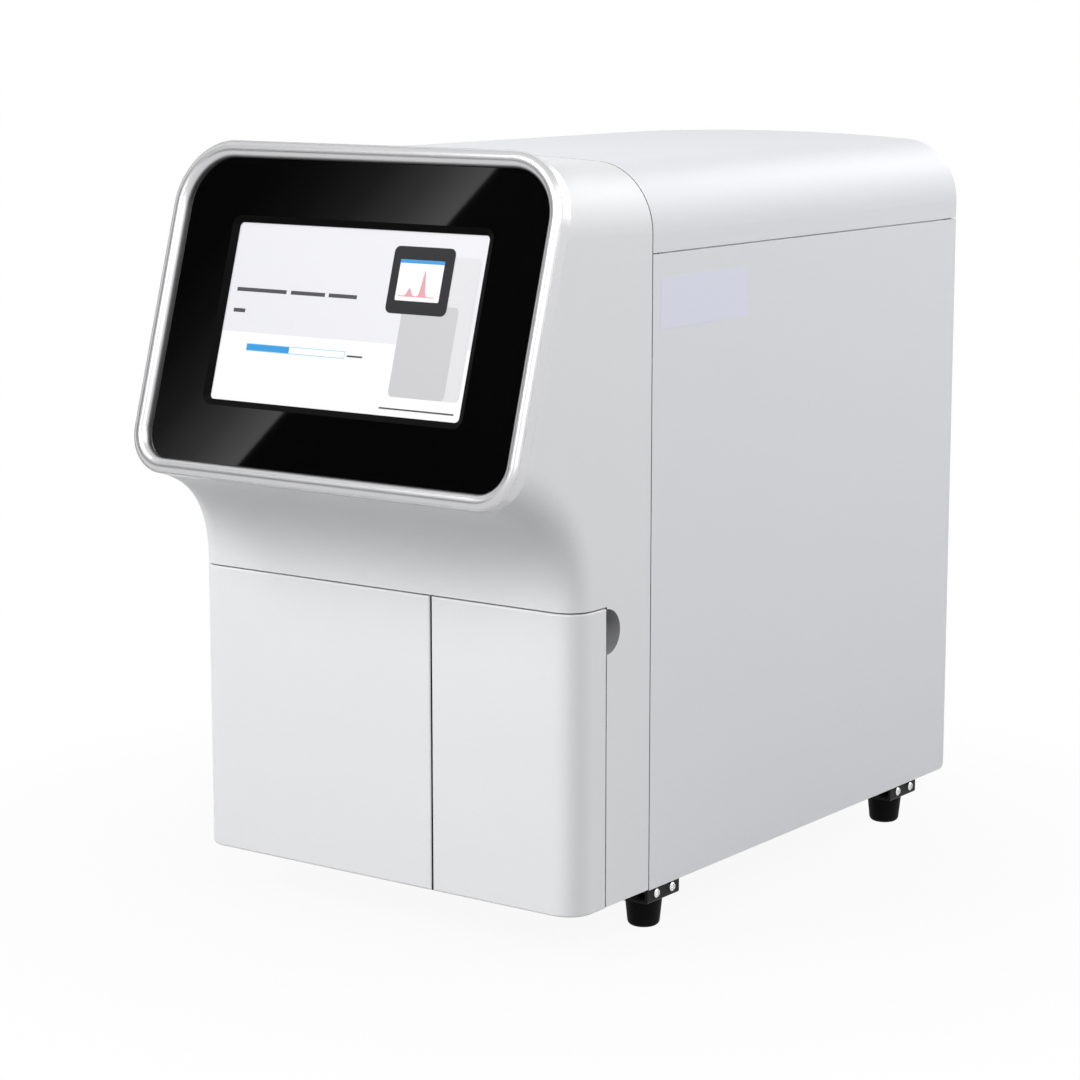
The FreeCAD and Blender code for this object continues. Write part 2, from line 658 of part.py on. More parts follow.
def base_tray():
    x = INNER_X
    floor = box(-x, x, TRAY_FRONT_Y, REAR_PANEL_Y, 0, SHEET)
    rims = [
        box(-x, -x + SHEET, CASE_FRONT_Y + SHEET, REAR_PANEL_Y, 0, TRAY_RIM),
        box(x - SHEET, x, CASE_FRONT_Y + SHEET, REAR_PANEL_Y, 0, TRAY_RIM),
        box(-x, x, REAR_PANEL_Y - SHEET, REAR_PANEL_Y, 0, TRAY_RIM),
    ]
    nose = box(-x, x, TRAY_FRONT_Y - 1, SEAM_Y + SEAM_GAP, -1, TRAY_RIM)
    narrow = nose.cut(box(-WING_X + 0.2, WING_X - 0.2, TRAY_FRONT_Y - 1, SEAM_Y + SEAM_GAP, -1, TRAY_RIM))
    tabs = []
    for sign, y in bracket_places():
        face = HALF - BRACKET_INSET - BRACKET_SHEET
        x0, x1 = sorted((sign * (face - BRACKET_SHEET), sign * face))
        reach = BRACKET_LENGTH / 2 - TAB_INSET
        tabs.append(box(x0, x1, y - reach, y + reach, -BRACKET_DROP + BRACKET_SHEET, SHEET))
    tray = joined([floor] + rims + tabs).cut(narrow)
    holes = [bracket_screw_shank(sign, y, offset, SCREW_GAP) for sign, y in bracket_places()
             for offset in bracket_screw_offsets()]
    return cut_all(tray, holes)


def bracket_places():
    return [(sign, y) for sign in (LEFT, RIGHT) for y in (FRONT_FOOT_Y, REAR_FOOT_Y)]


def bracket_screw_offsets():
    return (-BRACKET_SCREW_PITCH / 2, BRACKET_SCREW_PITCH / 2)


def bracket_screw_shank(sign, y, offset, gap):
    outer = HALF - BRACKET_INSET
    start = (sign * (outer - 2 * BRACKET_SHEET - 3), y + offset, BRACKET_SCREW_Z)
    return rod(SCREW_SHANK_RADIUS + gap, start, (sign * outer, y + offset, BRACKET_SCREW_Z))


def foot_bracket(sign, y):
    outer = HALF - BRACKET_INSET
    y0, y1 = y - BRACKET_LENGTH / 2, y + BRACKET_LENGTH / 2
    upright = box(outer - BRACKET_SHEET, outer, y0, y1, -BRACKET_DROP, 0)
    plate = box(outer - BRACKET_REACH, outer, y0, y1, -BRACKET_DROP, -BRACKET_DROP + BRACKET_SHEET)
    bracket = joined([upright, plate])
    bend = [e for e in bracket.Edges if along(e, "y") and abs(e.CenterOfMass.x - outer) < 0.01
            and abs(e.CenterOfMass.z + BRACKET_DROP) < 0.01]
    bracket = bracket.makeFillet(BRACKET_SHEET - 0.2, bend)
    if sign < 0:
        bracket = bracket.mirror(Vector(0, 0, 0), Vector(1, 0, 0))
    holes = [bracket_screw_shank(sign, y, offset, SCREW_GAP) for offset in bracket_screw_offsets()]
    stud = rod(SCREW_SHANK_RADIUS + 1, (sign * FOOT_X, y, -BRACKET_DROP), (sign * FOOT_X, y, 0))
    return cut_all(bracket, holes + [stud])


def foot(sign, y):
    top = -BRACKET_DROP
    low = top - FOOT_HEIGHT
    r0, r1, round_ = FOOT_TOP_RADIUS, FOOT_BOTTOM_RADIUS, FOOT_ROUND
    lean = round_ * (r0 - r1) / FOOT_HEIGHT
    diagonal = round_ * (1 - math.sqrt(0.5))
    profile = Part.Wire([
        line((0, 0, low), (r1 - round_, 0, low)),
        arc((r1 - round_, 0, low), (r1 - diagonal, 0, low + diagonal), (r1 + lean, 0, low + round_)),
        line((r1 + lean, 0, low + round_), (r0, 0, top)),
        line((r0, 0, top), (0, 0, top)),
        line((0, 0, top), (0, 0, low)),
    ])
    body = Part.Face(profile).revolve(Vector(0, 0, 0), Vector(0, 0, 1), 360)
    stem = rod(SCREW_SHANK_RADIUS + 0.9, (0, 0, top), (0, 0, top + BRACKET_SHEET))
    nut = rod(4.0, (0, 0, top + BRACKET_SHEET), (0, 0, top + BRACKET_SHEET + 3))
    whole = joined([body, stem, nut])
    whole.translate(Vector(sign * FOOT_X, y, 0))
    return whole


def pan_head(origin, direction, shank_length):
    """A screw whose head stands on origin and whose shank goes the other way."""
    r, h = SCREW_HEAD_RADIUS, SCREW_HEAD_HEIGHT
    profile = Part.Wire([
        line((0, 0, 0), (r, 0, 0)),
        line((r, 0, 0), (r, 0, h * 0.5)),
        line((r, 0, h * 0.5), (r * 0.68, 0, h * 0.9)),
        line((r * 0.68, 0, h * 0.9), (0, 0, h)),
        line((0, 0, h), (0, 0, 0)),
    ])
    head = Part.Face(profile).revolve(Vector(0, 0, 0), Vector(0, 0, 1), 360)
    bars = [box(-0.45, 0.45, -1.8, 1.8, h - 0.8, h + 1), box(-1.8, 1.8, -0.45, 0.45, h - 0.8, h + 1)]
    head = cut_all(head, bars)
    shank = rod(SCREW_SHANK_RADIUS, (0, 0, -shank_length), (0, 0, 0))
    screw = joined([head, shank])
    turn = Rotation(Vector(0, 0, 1), Vector(*direction))
    screw.Placement = Placement(Vector(*origin), turn)
    return screw


def bracket_screws():
    outer = HALF - BRACKET_INSET
    screws = []
    for sign, y in bracket_places():
        for offset in bracket_screw_offsets():
            screws.append(pan_head((sign * outer, y + offset, BRACKET_SCREW_Z), (sign, 0, 0),
                                   2 * BRACKET_SHEET + 2))
    return Part.makeCompound(screws)


def bay_liner():
    x = LINER_HALF_WIDTH
    front, back = LINER_FRONT_Y, LINER_BACK_Y
    plate = box(-x, x, front, front + LINER_WALL, LINER_BOTTOM_Z, LINER_TOP_Z)
    solids = [plate]
    tools = []
    for low, high in (BAY_LEFT, BAY_RIGHT):
        solids.append(box(low - LINER_WALL, high + LINER_WALL, front, back + LINER_WALL,
                          LINER_FLOOR_Z - LINER_WALL, LINER_ROOF_Z))
        tools.append(box(low, high, front - 1, back, LINER_FLOOR_Z, LINER_CEILING_Z))
        middle = (low + high) / 2
        for rib_x in (low + RAIL_RIB_WIDTH, middle, high - RAIL_RIB_WIDTH):
            solids.append(box(rib_x - RAIL_RIB_WIDTH / 2, rib_x + RAIL_RIB_WIDTH / 2, front + LINER_WALL + 6,
                              back, SHEET, LINER_FLOOR_Z))
    for sign in (LEFT, RIGHT):
        x0, x1 = sorted((sign * x, sign * WING_X))
        solids.append(box(x0, x1, front, front + LINER_WALL, LINER_BOTTOM_Z, LINER_FLANGE_TOP))
        hinge = hinge_x(sign)
        for z in lug_levels():
            solids.append(rod(LUG_RADIUS, (hinge, HINGE_Y, z), (hinge, HINGE_Y, z + LUG_HEIGHT)))
            solids.append(box(hinge - LUG_RADIUS + 0.2, hinge + LUG_RADIUS - 0.2, HINGE_Y, front + 1, z,
                              z + LUG_HEIGHT))
            tools.append(rod(PIN_RADIUS + RUNNING_GAP, (hinge, HINGE_Y, z - 1),
                             (hinge, HINGE_Y, z + LUG_HEIGHT + 1)))
        strike = strike_x(sign)
        tools.append(box(strike - STRIKE_WIDTH / 2, strike + STRIKE_WIDTH / 2, front - 1,
                         front + LINER_WALL + 1,
                         STRIKE_Z - STRIKE_HEIGHT / 2, STRIKE_Z + STRIKE_HEIGHT / 2))
    half_slot = SLOT_WIDTH / 2
    tools.append(box(PROBE_X - half_slot, PROBE_X + half_slot, FRONT_HOLE_Y - half_slot, WASH_Y + half_slot,
                     LINER_CEILING_Z - 1, LINER_ROOF_Z + 1))
    tools.append(box(PUMP_X - 12, PUMP_X + 12, back - 1, back + LINER_WALL + 1, PUMP_Z - 12, PUMP_Z + 12))
    return cut_all(joined(solids), tools)


def hinge_x(sign):
    return DOOR_SPLIT_X + sign * (DOOR_GAP / 2 + HINGE_INSET)


def strike_x(sign):
    return sign * (HALF - DOOR_GRIP / 2 - 1.5)


def lug_levels():
    low = DOOR_FLANGE + TOUCH_GAP
    return (low, DOOR_TOP - low - LUG_HEIGHT)


def door(sign):
    """One moulded door pan, drawn from its seam edge outwards along x."""
    seam_x = DOOR_SPLIT_X + sign * DOOR_GAP / 2
    width = abs(sign * HALF - seam_x)
    wall, corner, depth, pan = DOOR_WALL, DOOR_CORNER, DOOR_SIDE_DEPTH, DOOR_PAN_DEPTH
    inner = corner - wall
    grip = width - DOOR_GRIP
    centre = (width - corner, corner)
    skin = Part.Face(Part.Wire([
        line((0, 0, 0), (width - corner, 0, 0)),
        corner_arc(centre, corner, -90, 0),
        line((width, corner, 0), (width, depth, 0)),
        line((width, depth, 0), (grip, depth, 0)),
        line((grip, depth, 0), (grip, depth - DOOR_FLANGE, 0)),
        line((grip, depth - DOOR_FLANGE, 0), (width - wall, depth - DOOR_FLANGE, 0)),
        line((width - wall, depth - DOOR_FLANGE, 0), (width - wall, corner, 0)),
        corner_arc(centre, inner, 0, -90),
        line((width - corner, wall, 0), (DOOR_FLANGE, wall, 0)),
        line((DOOR_FLANGE, wall, 0), (DOOR_FLANGE, pan, 0)),
        line((DOOR_FLANGE, pan, 0), (0, pan, 0)),
        line((0, pan, 0), (0, 0, 0)),
    ])).extrude(Vector(0, 0, DOOR_TOP))
    cap_face = Part.Face(Part.Wire([
        line((0, 0, 0), (width - corner, 0, 0)),
        corner_arc(centre, corner, -90, 0),
        line((width, corner, 0), (width, depth, 0)),
        line((width, depth, 0), (grip, depth, 0)),
        line((grip, depth, 0), (grip, pan, 0)),
        line((grip, pan, 0), (0, pan, 0)),
        line((0, pan, 0), (0, 0, 0)),
    ]))
    low_cap = cap_face.extrude(Vector(0, 0, DOOR_FLANGE))
    high_cap = low_cap.translated(Vector(0, 0, DOOR_TOP - DOOR_FLANGE))
    body = joined([skin, low_cap, high_cap])
    body = body.makeFillet(DOOR_EDGE_ROUND, door_outer_edges(body, width))
    ears = []
    tools = []
    low_lug, high_lug = lug_levels()
    low_ear = low_lug + LUG_HEIGHT + TOUCH_GAP
    high_ear = high_lug - TOUCH_GAP - EAR_HEIGHT
    for z in (low_ear, high_ear):
        ears.append(rod(EAR_RADIUS, (HINGE_INSET, HINGE_Y, z), (HINGE_INSET, HINGE_Y, z + EAR_HEIGHT)))
        ears.append(box(HINGE_INSET - EAR_RADIUS, HINGE_INSET + EAR_RADIUS, wall - 0.5, HINGE_Y, z,
                        z + EAR_HEIGHT))
    for z0, z1 in hinge_pin_spans():
        tools.append(rod(PIN_RADIUS, (HINGE_INSET, HINGE_Y, z0), (HINGE_INSET, HINGE_Y, z1)))
    for z in lug_levels():
        tools.append(box(-1, DOOR_FLANGE + 1, wall, pan + 1, z - TOUCH_GAP, z + LUG_HEIGHT + TOUCH_GAP))
    body = cut_all(joined([body] + ears), tools)
    if sign < 0:
        body = body.mirror(Vector(0, 0, 0), Vector(1, 0, 0))
    body.translate(Vector(seam_x, 0, 0))
    return body


def door_outer_edges(body, width):
    """The front edges along the seam, and the rims round the top and bottom."""
    chosen = []
    for edge in body.Edges:
        mid = edge.valueAt((edge.FirstParameter + edge.LastParameter) / 2)
        on_rim = abs(mid.z) < 0.01 or abs(mid.z - DOOR_TOP) < 0.01
        on_front = abs(mid.y) < 0.01
        on_side = abs(mid.x - width) < 0.01
        centre = Vector(width - DOOR_CORNER, DOOR_CORNER, mid.z)
        on_corner = abs((mid - centre).Length - DOOR_CORNER) < 0.01 and mid.x > centre.x and mid.y < centre.y
        on_seam = along(edge, "z") and on_front and abs(mid.x) < 0.01
        if on_seam or (on_rim and (on_front or on_side or on_corner)):
            chosen.append(edge)
    return chosen


def hinge_pin_spans():
    low_lug, high_lug = lug_levels()
    low_end = low_lug + LUG_HEIGHT + TOUCH_GAP + EAR_HEIGHT
    high_end = high_lug - TOUCH_GAP - EAR_HEIGHT
    return ((DOOR_FLANGE / 2, low_end), (high_end, DOOR_TOP - DOOR_FLANGE / 2))


def hinge_pins(sign):
    x = hinge_x(sign)
    pins = [rod(PIN_RADIUS, (x, HINGE_Y, z0), (x, HINGE_Y, z1)) for z0, z1 in hinge_pin_spans()]
    return Part.makeCompound(pins)


def door_strike(sign):
    x = strike_x(sign)
    y0 = DOOR_SIDE_DEPTH
    return box(x - STRIKE_WIDTH / 2, x + STRIKE_WIDTH / 2, y0, y0 + STRIKE_THICKNESS,
               STRIKE_Z - STRIKE_HEIGHT / 2, STRIKE_Z + STRIKE_HEIGHT / 2)


def door_magnets():
    magnets = []
    for sign in (LEFT, RIGHT):
        x = strike_x(sign)
        magnets.append(box(x - STRIKE_WIDTH / 2, x + STRIKE_WIDTH / 2, LINER_FRONT_Y,
                           LINER_FRONT_Y + MAGNET_LENGTH,
                           STRIKE_Z - STRIKE_HEIGHT / 2, STRIKE_Z + STRIKE_HEIGHT / 2))
    return Part.makeCompound(magnets)


def front_portal():
    y0, y1 = CASE_FRONT_Y + SHEET, CASE_FRONT_Y + 2 * SHEET
    plate = box(-INNER_X + SHEET, INNER_X - SHEET, y0, y1, SHEET, COVER_SEAM_Z - COVER_LIP - 1)
    opening = box(-PORTAL_OPENING_HALF, PORTAL_OPENING_HALF, y0, y1, 0, PORTAL_OPENING_Z)
    return plate.cut(opening)


def equipment_shelf():
    plate = box(-INNER_X, INNER_X, SHELF_FRONT_Y, REAR_PANEL_Y - SHEET, SHELF_Z, SHELF_Z + SHEET)
    front = box(-INNER_X, INNER_X, SHELF_FRONT_Y, SHELF_FRONT_Y + SHEET, SHELF_Z - FLANGE, SHELF_Z)
    sides = [box(*sorted((sign * (INNER_X - SHEET), sign * INNER_X)), SHELF_FRONT_Y, REAR_PANEL_Y - SHEET,
                 SHELF_Z - FLANGE, SHELF_Z) for sign in (LEFT, RIGHT)]
    return joined([plate, front] + sides)


def column_oven():
    x0, x1 = OVEN_LEFT_X, OVEN_LEFT_X + OVEN_WIDTH
    y0, y1 = OVEN_FRONT_Y, LINER_BACK_Y
    z0, z1 = OVEN_BOTTOM_Z, OVEN_BOTTOM_Z + OVEN_HEIGHT
    wall = OVEN_WALL
    body = box(x0, x1, y0, y1, z0, z1)
    upright = [e for e in body.Edges if along(e, "y")]
    body = body.makeFillet(4.0, upright)
    cavity = box(x0 + wall, x1 - wall, y0 - 1, y1 - 2 * wall, z0 + wall, z1 - wall)
    body = body.cut(cavity)
    saddles = []
    for x in saddle_places():
        saddle = box(x - 3, x + 3, COLUMN_Y, y1 - 2 * wall, column_z() - 12, column_z() + 12)
        saddles.append(saddle.cut(rod(COLUMN_RADIUS, (x - 3, COLUMN_Y, column_z()),
                                      (x + 3, COLUMN_Y, column_z()))))
    axis_y, axis_z = oven_axis()
    lugs = []
    tools = []
    for start, end in oven_lug_spans():
        lugs.append(rod(OVEN_BARREL_RADIUS, (start, axis_y, axis_z), (end, axis_y, axis_z)))
        lugs.append(box(start, end, axis_y, y0 + 1, axis_z - OVEN_BARREL_RADIUS, axis_z + OVEN_BARREL_RADIUS))
        tools.append(rod(OVEN_PIN_RADIUS + RUNNING_GAP, (start, axis_y, axis_z), (end, axis_y, axis_z)))
    for side in (x0, x1 - wall):
        tools.append(rod(COLUMN_END_RADIUS, (side - 1, COLUMN_Y, column_z()),
                         (side + wall + 1, COLUMN_Y, column_z())))
    return cut_all(joined([body] + saddles + lugs), tools)


def saddle_places():
    middle = OVEN_LEFT_X + OVEN_WIDTH / 2
    return (middle - COLUMN_LENGTH / 3, middle + COLUMN_LENGTH / 3)


def column_z():
    return OVEN_BOTTOM_Z + OVEN_HEIGHT / 2


def oven_axis():
    y = OVEN_FRONT_Y - TOUCH_GAP - OVEN_BARREL_RADIUS
    return y, OVEN_BOTTOM_Z + OVEN_BARREL_RADIUS + 0.2


def oven_lug_spans():
    left = OVEN_LEFT_X + OVEN_WALL
    right = OVEN_LEFT_X + OVEN_WIDTH - OVEN_WALL
    return ((left, left + OVEN_LUG_WIDTH), (right - OVEN_LUG_WIDTH, right))


def oven_cover():
    axis_y, axis_z = oven_axis()
    y1 = OVEN_FRONT_Y - TOUCH_GAP
    y0 = y1 - OVEN_COVER_THICKNESS
    z0 = OVEN_BOTTOM_Z + OVEN_WALL
    x0, x1 = OVEN_LEFT_X + 2, OVEN_LEFT_X + OVEN_WIDTH - 2
    plate = box(x0, x1, y0, y1, z0, z0 + OVEN_COVER_HEIGHT)
    plate = plate.makeFillet(4.0, [e for e in plate.Edges if along(e, "y") and e.CenterOfMass.z > z0 + 5])
    (_, barrel_start), (barrel_end, _) = oven_lug_spans()
    start, end = barrel_start + TOUCH_GAP, barrel_end - TOUCH_GAP
    barrel = rod(OVEN_BARREL_RADIUS, (start, axis_y, axis_z), (end, axis_y, axis_z))
    web = box(start, end, y0, y1 - 0.6, axis_z, z0 + 2)
    pins = [rod(OVEN_PIN_RADIUS, (barrel_start - OVEN_LUG_WIDTH + 1, axis_y, axis_z),
                (start + 1, axis_y, axis_z)),
            rod(OVEN_PIN_RADIUS, (end - 1, axis_y, axis_z), (barrel_end + OVEN_LUG_WIDTH - 1, axis_y,
                                                             axis_z))]
    middle = (x0 + x1) / 2
    pull = box(middle - 12, middle + 12, y0 - 5, y0 + 1, z0 + OVEN_COVER_HEIGHT - 9,
               z0 + OVEN_COVER_HEIGHT - 5)
    ribs = [box(x0 + 8, x1 - 8, y0 - 0.6, y0 + 0.5, z, z + 2) for z in (z0 + 12, z0 + 20, z0 + 28)]
    return joined([plate, barrel, web, pull] + pins + ribs)


def column():
    middle = OVEN_LEFT_X + OVEN_WIDTH / 2
    z = column_z()
    half = COLUMN_LENGTH / 2
    body = rod(COLUMN_RADIUS, (middle - half, COLUMN_Y, z), (middle + half, COLUMN_Y, z))
    caps = []
    for sign in (-1, 1):
        start, end = middle + sign * half, middle + sign * (half + COLUMN_END_LENGTH)
        cap = rod(COLUMN_END_RADIUS, (start, COLUMN_Y, z), (end, COLUMN_Y, z))
        flats = [box(min(start, end), max(start, end), COLUMN_Y + s * 6 - 2, COLUMN_Y + s * 6 + 2, z - 6,
                     z + 6)
                 for s in (-1, 1)]
        caps.append(cut_all(cap, flats))
    grooves = [ring(COLUMN_RADIUS + 1, COLUMN_RADIUS - 0.6, (middle + x, COLUMN_Y, z),
                    (middle + x + 1.2, COLUMN_Y, z))
               for x in (-half + 2, half - 3.2)]
    return cut_all(joined([body] + caps), grooves)


def pump_head():
    y1 = LINER_BACK_Y
    y0 = y1 - PUMP_DEPTH
    half = PUMP_SIZE / 2
    block = box(PUMP_X - half, PUMP_X + half, y0, y1, PUMP_Z - half, PUMP_Z + half)
    block = block.makeChamfer(4.0, [e for e in block.Edges if along(e, "y")])
    middle_y = (y0 + y1) / 2
    valves = []
    for x in (PUMP_X - 12, PUMP_X + 12):
        for side in (-1, 1):
            base = PUMP_Z + side * (half - 1)
            tip = PUMP_Z + side * (half + VALVE_HEIGHT)
            valves.append(hexagon(VALVE_RADIUS, (x, middle_y), base, tip))
    boss = ring(KNOB_BOSS_RADIUS, KNOB_STEM_RADIUS + RUNNING_GAP, (knob_x(), y0 - KNOB_BOSS_LENGTH, PUMP_Z),
                (knob_x(), y0 + 1, PUMP_Z))
    bore = rod(KNOB_STEM_RADIUS + RUNNING_GAP, (knob_x(), y0 - 1, PUMP_Z), (knob_x(), y0 + 6, PUMP_Z))
    plunger_cap = rod(8, (PUMP_X - 12, y0 - 4, PUMP_Z), (PUMP_X - 12, y0 + 1, PUMP_Z))
    bolts = [rod(2.6, (PUMP_X + x, y0 - 3, PUMP_Z + z), (PUMP_X + x, y0 + 1, PUMP_Z + z))
             for x in (-19, 19) for z in (-19, 19)]
    drive = rod(11, (PUMP_X, y1 - 1, PUMP_Z), (PUMP_X, y1 + LINER_WALL, PUMP_Z))
    body = joined([block, plunger_cap, drive] + valves + bolts).cut(bore)
    return joined([body, boss])


def hexagon(radius, centre, z0, z1):
    corners = [(centre[0] + radius * math.cos(math.radians(60 * i)),
                centre[1] + radius * math.sin(math.radians(60 * i)), z0) for i in range(6)]
    return polygon(corners).extrude(Vector(0, 0, z1 - z0))


def knob_x():
    return PUMP_X + KNOB_OFFSET_X


def purge_knob():
    """A fluted hand knob on a stem that turns in the pump head."""
    face_y = LINER_BACK_Y - PUMP_DEPTH - KNOB_BOSS_LENGTH - TOUCH_GAP
    body = rod(KNOB_RADIUS, (knob_x(), face_y - KNOB_LENGTH, PUMP_Z), (knob_x(), face_y, PUMP_Z))
    rims = [e for e in body.Edges if len(e.Vertexes) == 1]
    body = body.makeChamfer(1.0, rims)
    flutes = []
    for i in range(KNOB_FLUTES):
        angle = 2 * math.pi * i / KNOB_FLUTES
        x = knob_x() + (KNOB_RADIUS + 0.6) * math.cos(angle)
        z = PUMP_Z + (KNOB_RADIUS + 0.6) * math.sin(angle)
        flutes.append(rod(1.4, (x, face_y - KNOB_LENGTH, z), (x, face_y, z)))
    stem = rod(KNOB_STEM_RADIUS, (knob_x(), face_y - 1, PUMP_Z),
               (knob_x(), face_y + KNOB_BOSS_LENGTH + 4, PUMP_Z))
    pointer = box(knob_x() - 0.8, knob_x() + 0.8, face_y - KNOB_LENGTH - 0.8, face_y - KNOB_LENGTH + 1,
                  PUMP_Z, PUMP_Z + 6)
    return joined([cut_all(body, flutes), stem, pointer])


def injection_valve():
    y1 = LINER_BACK_Y
    y0 = y1 - INJECTOR_DEPTH
    head = rod(INJECTOR_RADIUS, (INJECTOR_X, y0, INJECTOR_Z), (INJECTOR_X, y0 + 12, INJECTOR_Z))
    waist = rod(INJECTOR_RADIUS - 3, (INJECTOR_X, y0 + 12, INJECTOR_Z), (INJECTOR_X, y0 + 15, INJECTOR_Z))
    half = INJECTOR_BASE / 2
    base = box(INJECTOR_X - half, INJECTOR_X + half, y0 + 15, y1, INJECTOR_Z - half, INJECTOR_Z + half)
    base = base.makeFillet(3.0, [e for e in base.Edges if along(e, "y")])
    ports = []
    for x, z in port_ring():
        ports.append(rod(PORT_RADIUS, (x, y0 - PORT_LENGTH, z), (x, y0 + 1, z)))
    screws = [rod(2.2, (INJECTOR_X + 4.6 * math.cos(a), y0 - 1.6, INJECTOR_Z + 4.6 * math.sin(a)),
                  (INJECTOR_X + 4.6 * math.cos(a), y0 + 1, INJECTOR_Z + 4.6 * math.sin(a)))
              for a in (math.pi / 2, math.pi / 2 + 2 * math.pi / 3, math.pi / 2 + 4 * math.pi / 3)]
    return joined([head, waist, base] + ports + screws)


def port_ring():
    places = []
    for i in range(PORT_COUNT):
        angle = 2 * math.pi * (i + 0.5) / PORT_COUNT
        places.append((INJECTOR_X + PORT_CIRCLE * math.cos(angle),
                       INJECTOR_Z + PORT_CIRCLE * math.sin(angle)))
    return places


def bent_tube(points, radius, bend):
    """An eight-sided line on straight runs joined by tangent arcs of one radius."""
    corners = [Vector(*p) for p in points]
    edges = []
    start = corners[0]
    for before, corner, after in zip(corners, corners[1:], corners[2:]):
        come = (corner - before).normalize()
        go = (after - corner).normalize()
        turn = come.getAngle(go)
        reach = bend * math.tan(turn / 2)
        enter = corner - come * reach
        leave = corner + go * reach
        inward = (go - come).normalize()
        centre = corner + inward * (bend / math.cos(turn / 2))
        middle = centre - inward * bend
        edges.append(Part.LineSegment(start, enter).toShape())
        edges.append(Part.Arc(enter, middle, leave).toShape())
        start = leave
    edges.append(Part.LineSegment(start, corners[-1]).toShape())
    first = (corners[1] - corners[0]).normalize()
    rim = [Vector(radius * math.cos(math.radians(a)), radius * math.sin(math.radians(a)), 0)
           for a in range(0, 360, 45)]
    section = Part.makePolygon(rim + [rim[0]])
    section.Placement = Placement(corners[0], Rotation(Vector(0, 0, 1), first))
    return Part.Wire(edges).makePipeShell([section], True, False)


def capillary_lines():
    """Steel lines from the pump to the injection valve and on to the column."""
    ports = port_ring()
    valve_y = LINER_BACK_Y - INJECTOR_DEPTH - PORT_LENGTH
    column_end = OVEN_LEFT_X + OVEN_WIDTH / 2 + COLUMN_LENGTH / 2 + COLUMN_END_LENGTH
    to_port = ports[2]
    approach = OVEN_LEFT_X + OVEN_WIDTH + 3.5
    to_column = [
        (column_end, COLUMN_Y, column_z()),
        (approach, COLUMN_Y, column_z()),
        (approach, valve_y - 8, to_port[1]),
        (to_port[0], valve_y - 8, to_port[1]),
        (to_port[0], valve_y, to_port[1]),
    ]
    pump_y = LINER_BACK_Y - PUMP_DEPTH / 2
    pump_top = PUMP_Z + PUMP_SIZE / 2 + VALVE_HEIGHT
    from_port = ports[4]
    to_valve = [
        (PUMP_X + 12, pump_y, pump_top),
        (PUMP_X + 12, pump_y, pump_top + 6),
        (from_port[0], pump_y - 28, pump_top + 6),
        (from_port[0], valve_y - 8, from_port[1]),
        (from_port[0], valve_y, from_port[1]),
    ]
    return Part.makeCompound([bent_tube(to_column, 0.8, 3.0), bent_tube(to_valve, 0.8, 3.0)])


def syringe_drive():
    x0, x1 = SYRINGE_X - SYRINGE_DRIVE_WIDTH / 2, SYRINGE_X + SYRINGE_DRIVE_WIDTH / 2
    y0 = SYRINGE_DRIVE_FRONT_Y
    body = box(x0, x1, y0, LINER_BACK_Y, SYRINGE_DRIVE_BOTTOM, SYRINGE_DRIVE_TOP)
    body = body.makeFillet(3.0, [e for e in body.Edges if along(e, "z") and e.CenterOfMass.y < y0 + 1])
    half = TONGUE_WIDTH / 2 + TOUCH_GAP
    guide = box(SYRINGE_X - half, SYRINGE_X + half, y0 - 1, y0 + 6, PLUNGER_BLOCK_Z - PLUNGER_STROKE - 1,
                PLUNGER_BLOCK_Z + PLUNGER_BLOCK + 1)
    head_z = SYRINGE_BARREL_BOTTOM + SYRINGE_BARREL_LENGTH
    head = box(SYRINGE_X - 9, SYRINGE_X + 9, SYRINGE_Y - 9, y0 + 1, head_z, head_z + 10)
    fitting = rod(3, (SYRINGE_X, SYRINGE_Y, head_z + 9), (SYRINGE_X, SYRINGE_Y, head_z + 16))
    clamp = box(SYRINGE_X - 9, SYRINGE_X + 9, SYRINGE_Y + 2, y0 + 1, SYRINGE_BARREL_BOTTOM + 4,
                SYRINGE_BARREL_BOTTOM + 10)
    seat = rod(SYRINGE_RADIUS, (SYRINGE_X, SYRINGE_Y, SYRINGE_BARREL_BOTTOM),
               (SYRINGE_X, SYRINGE_Y, SYRINGE_BARREL_BOTTOM + 12))
    return cut_all(joined([body, head, fitting, clamp]), [guide, seat])


def syringe_barrel():
    low = SYRINGE_BARREL_BOTTOM
    high = low + SYRINGE_BARREL_LENGTH
    return ring(SYRINGE_RADIUS, SYRINGE_BORE, (SYRINGE_X, SYRINGE_Y, low), (SYRINGE_X, SYRINGE_Y, high))


def syringe_plunger():
    top = SYRINGE_BARREL_BOTTOM + SYRINGE_BARREL_LENGTH - 4
    low = PLUNGER_BLOCK_Z + PLUNGER_BLOCK
    piston = rod(SYRINGE_BORE - PISTON_GAP, (SYRINGE_X, SYRINGE_Y, top - 6), (SYRINGE_X, SYRINGE_Y, top))
    stem = rod(PLUNGER_ROD, (SYRINGE_X, SYRINGE_Y, low - 1), (SYRINGE_X, SYRINGE_Y, top - 5))
    block = box(SYRINGE_X - 7, SYRINGE_X + 7, SYRINGE_Y - 7, SYRINGE_DRIVE_FRONT_Y - TOUCH_GAP,
                PLUNGER_BLOCK_Z, low)
    half = TONGUE_WIDTH / 2
    tongue = box(SYRINGE_X - half, SYRINGE_X + half, SYRINGE_DRIVE_FRONT_Y - 1, SYRINGE_DRIVE_FRONT_Y + 5,
                 PLUNGER_BLOCK_Z, low)
    thumb = rod(4, (SYRINGE_X, SYRINGE_Y, PLUNGER_BLOCK_Z - 3), (SYRINGE_X, SYRINGE_Y, PLUNGER_BLOCK_Z + 1))
    return joined([piston, stem, block, tongue, thumb])


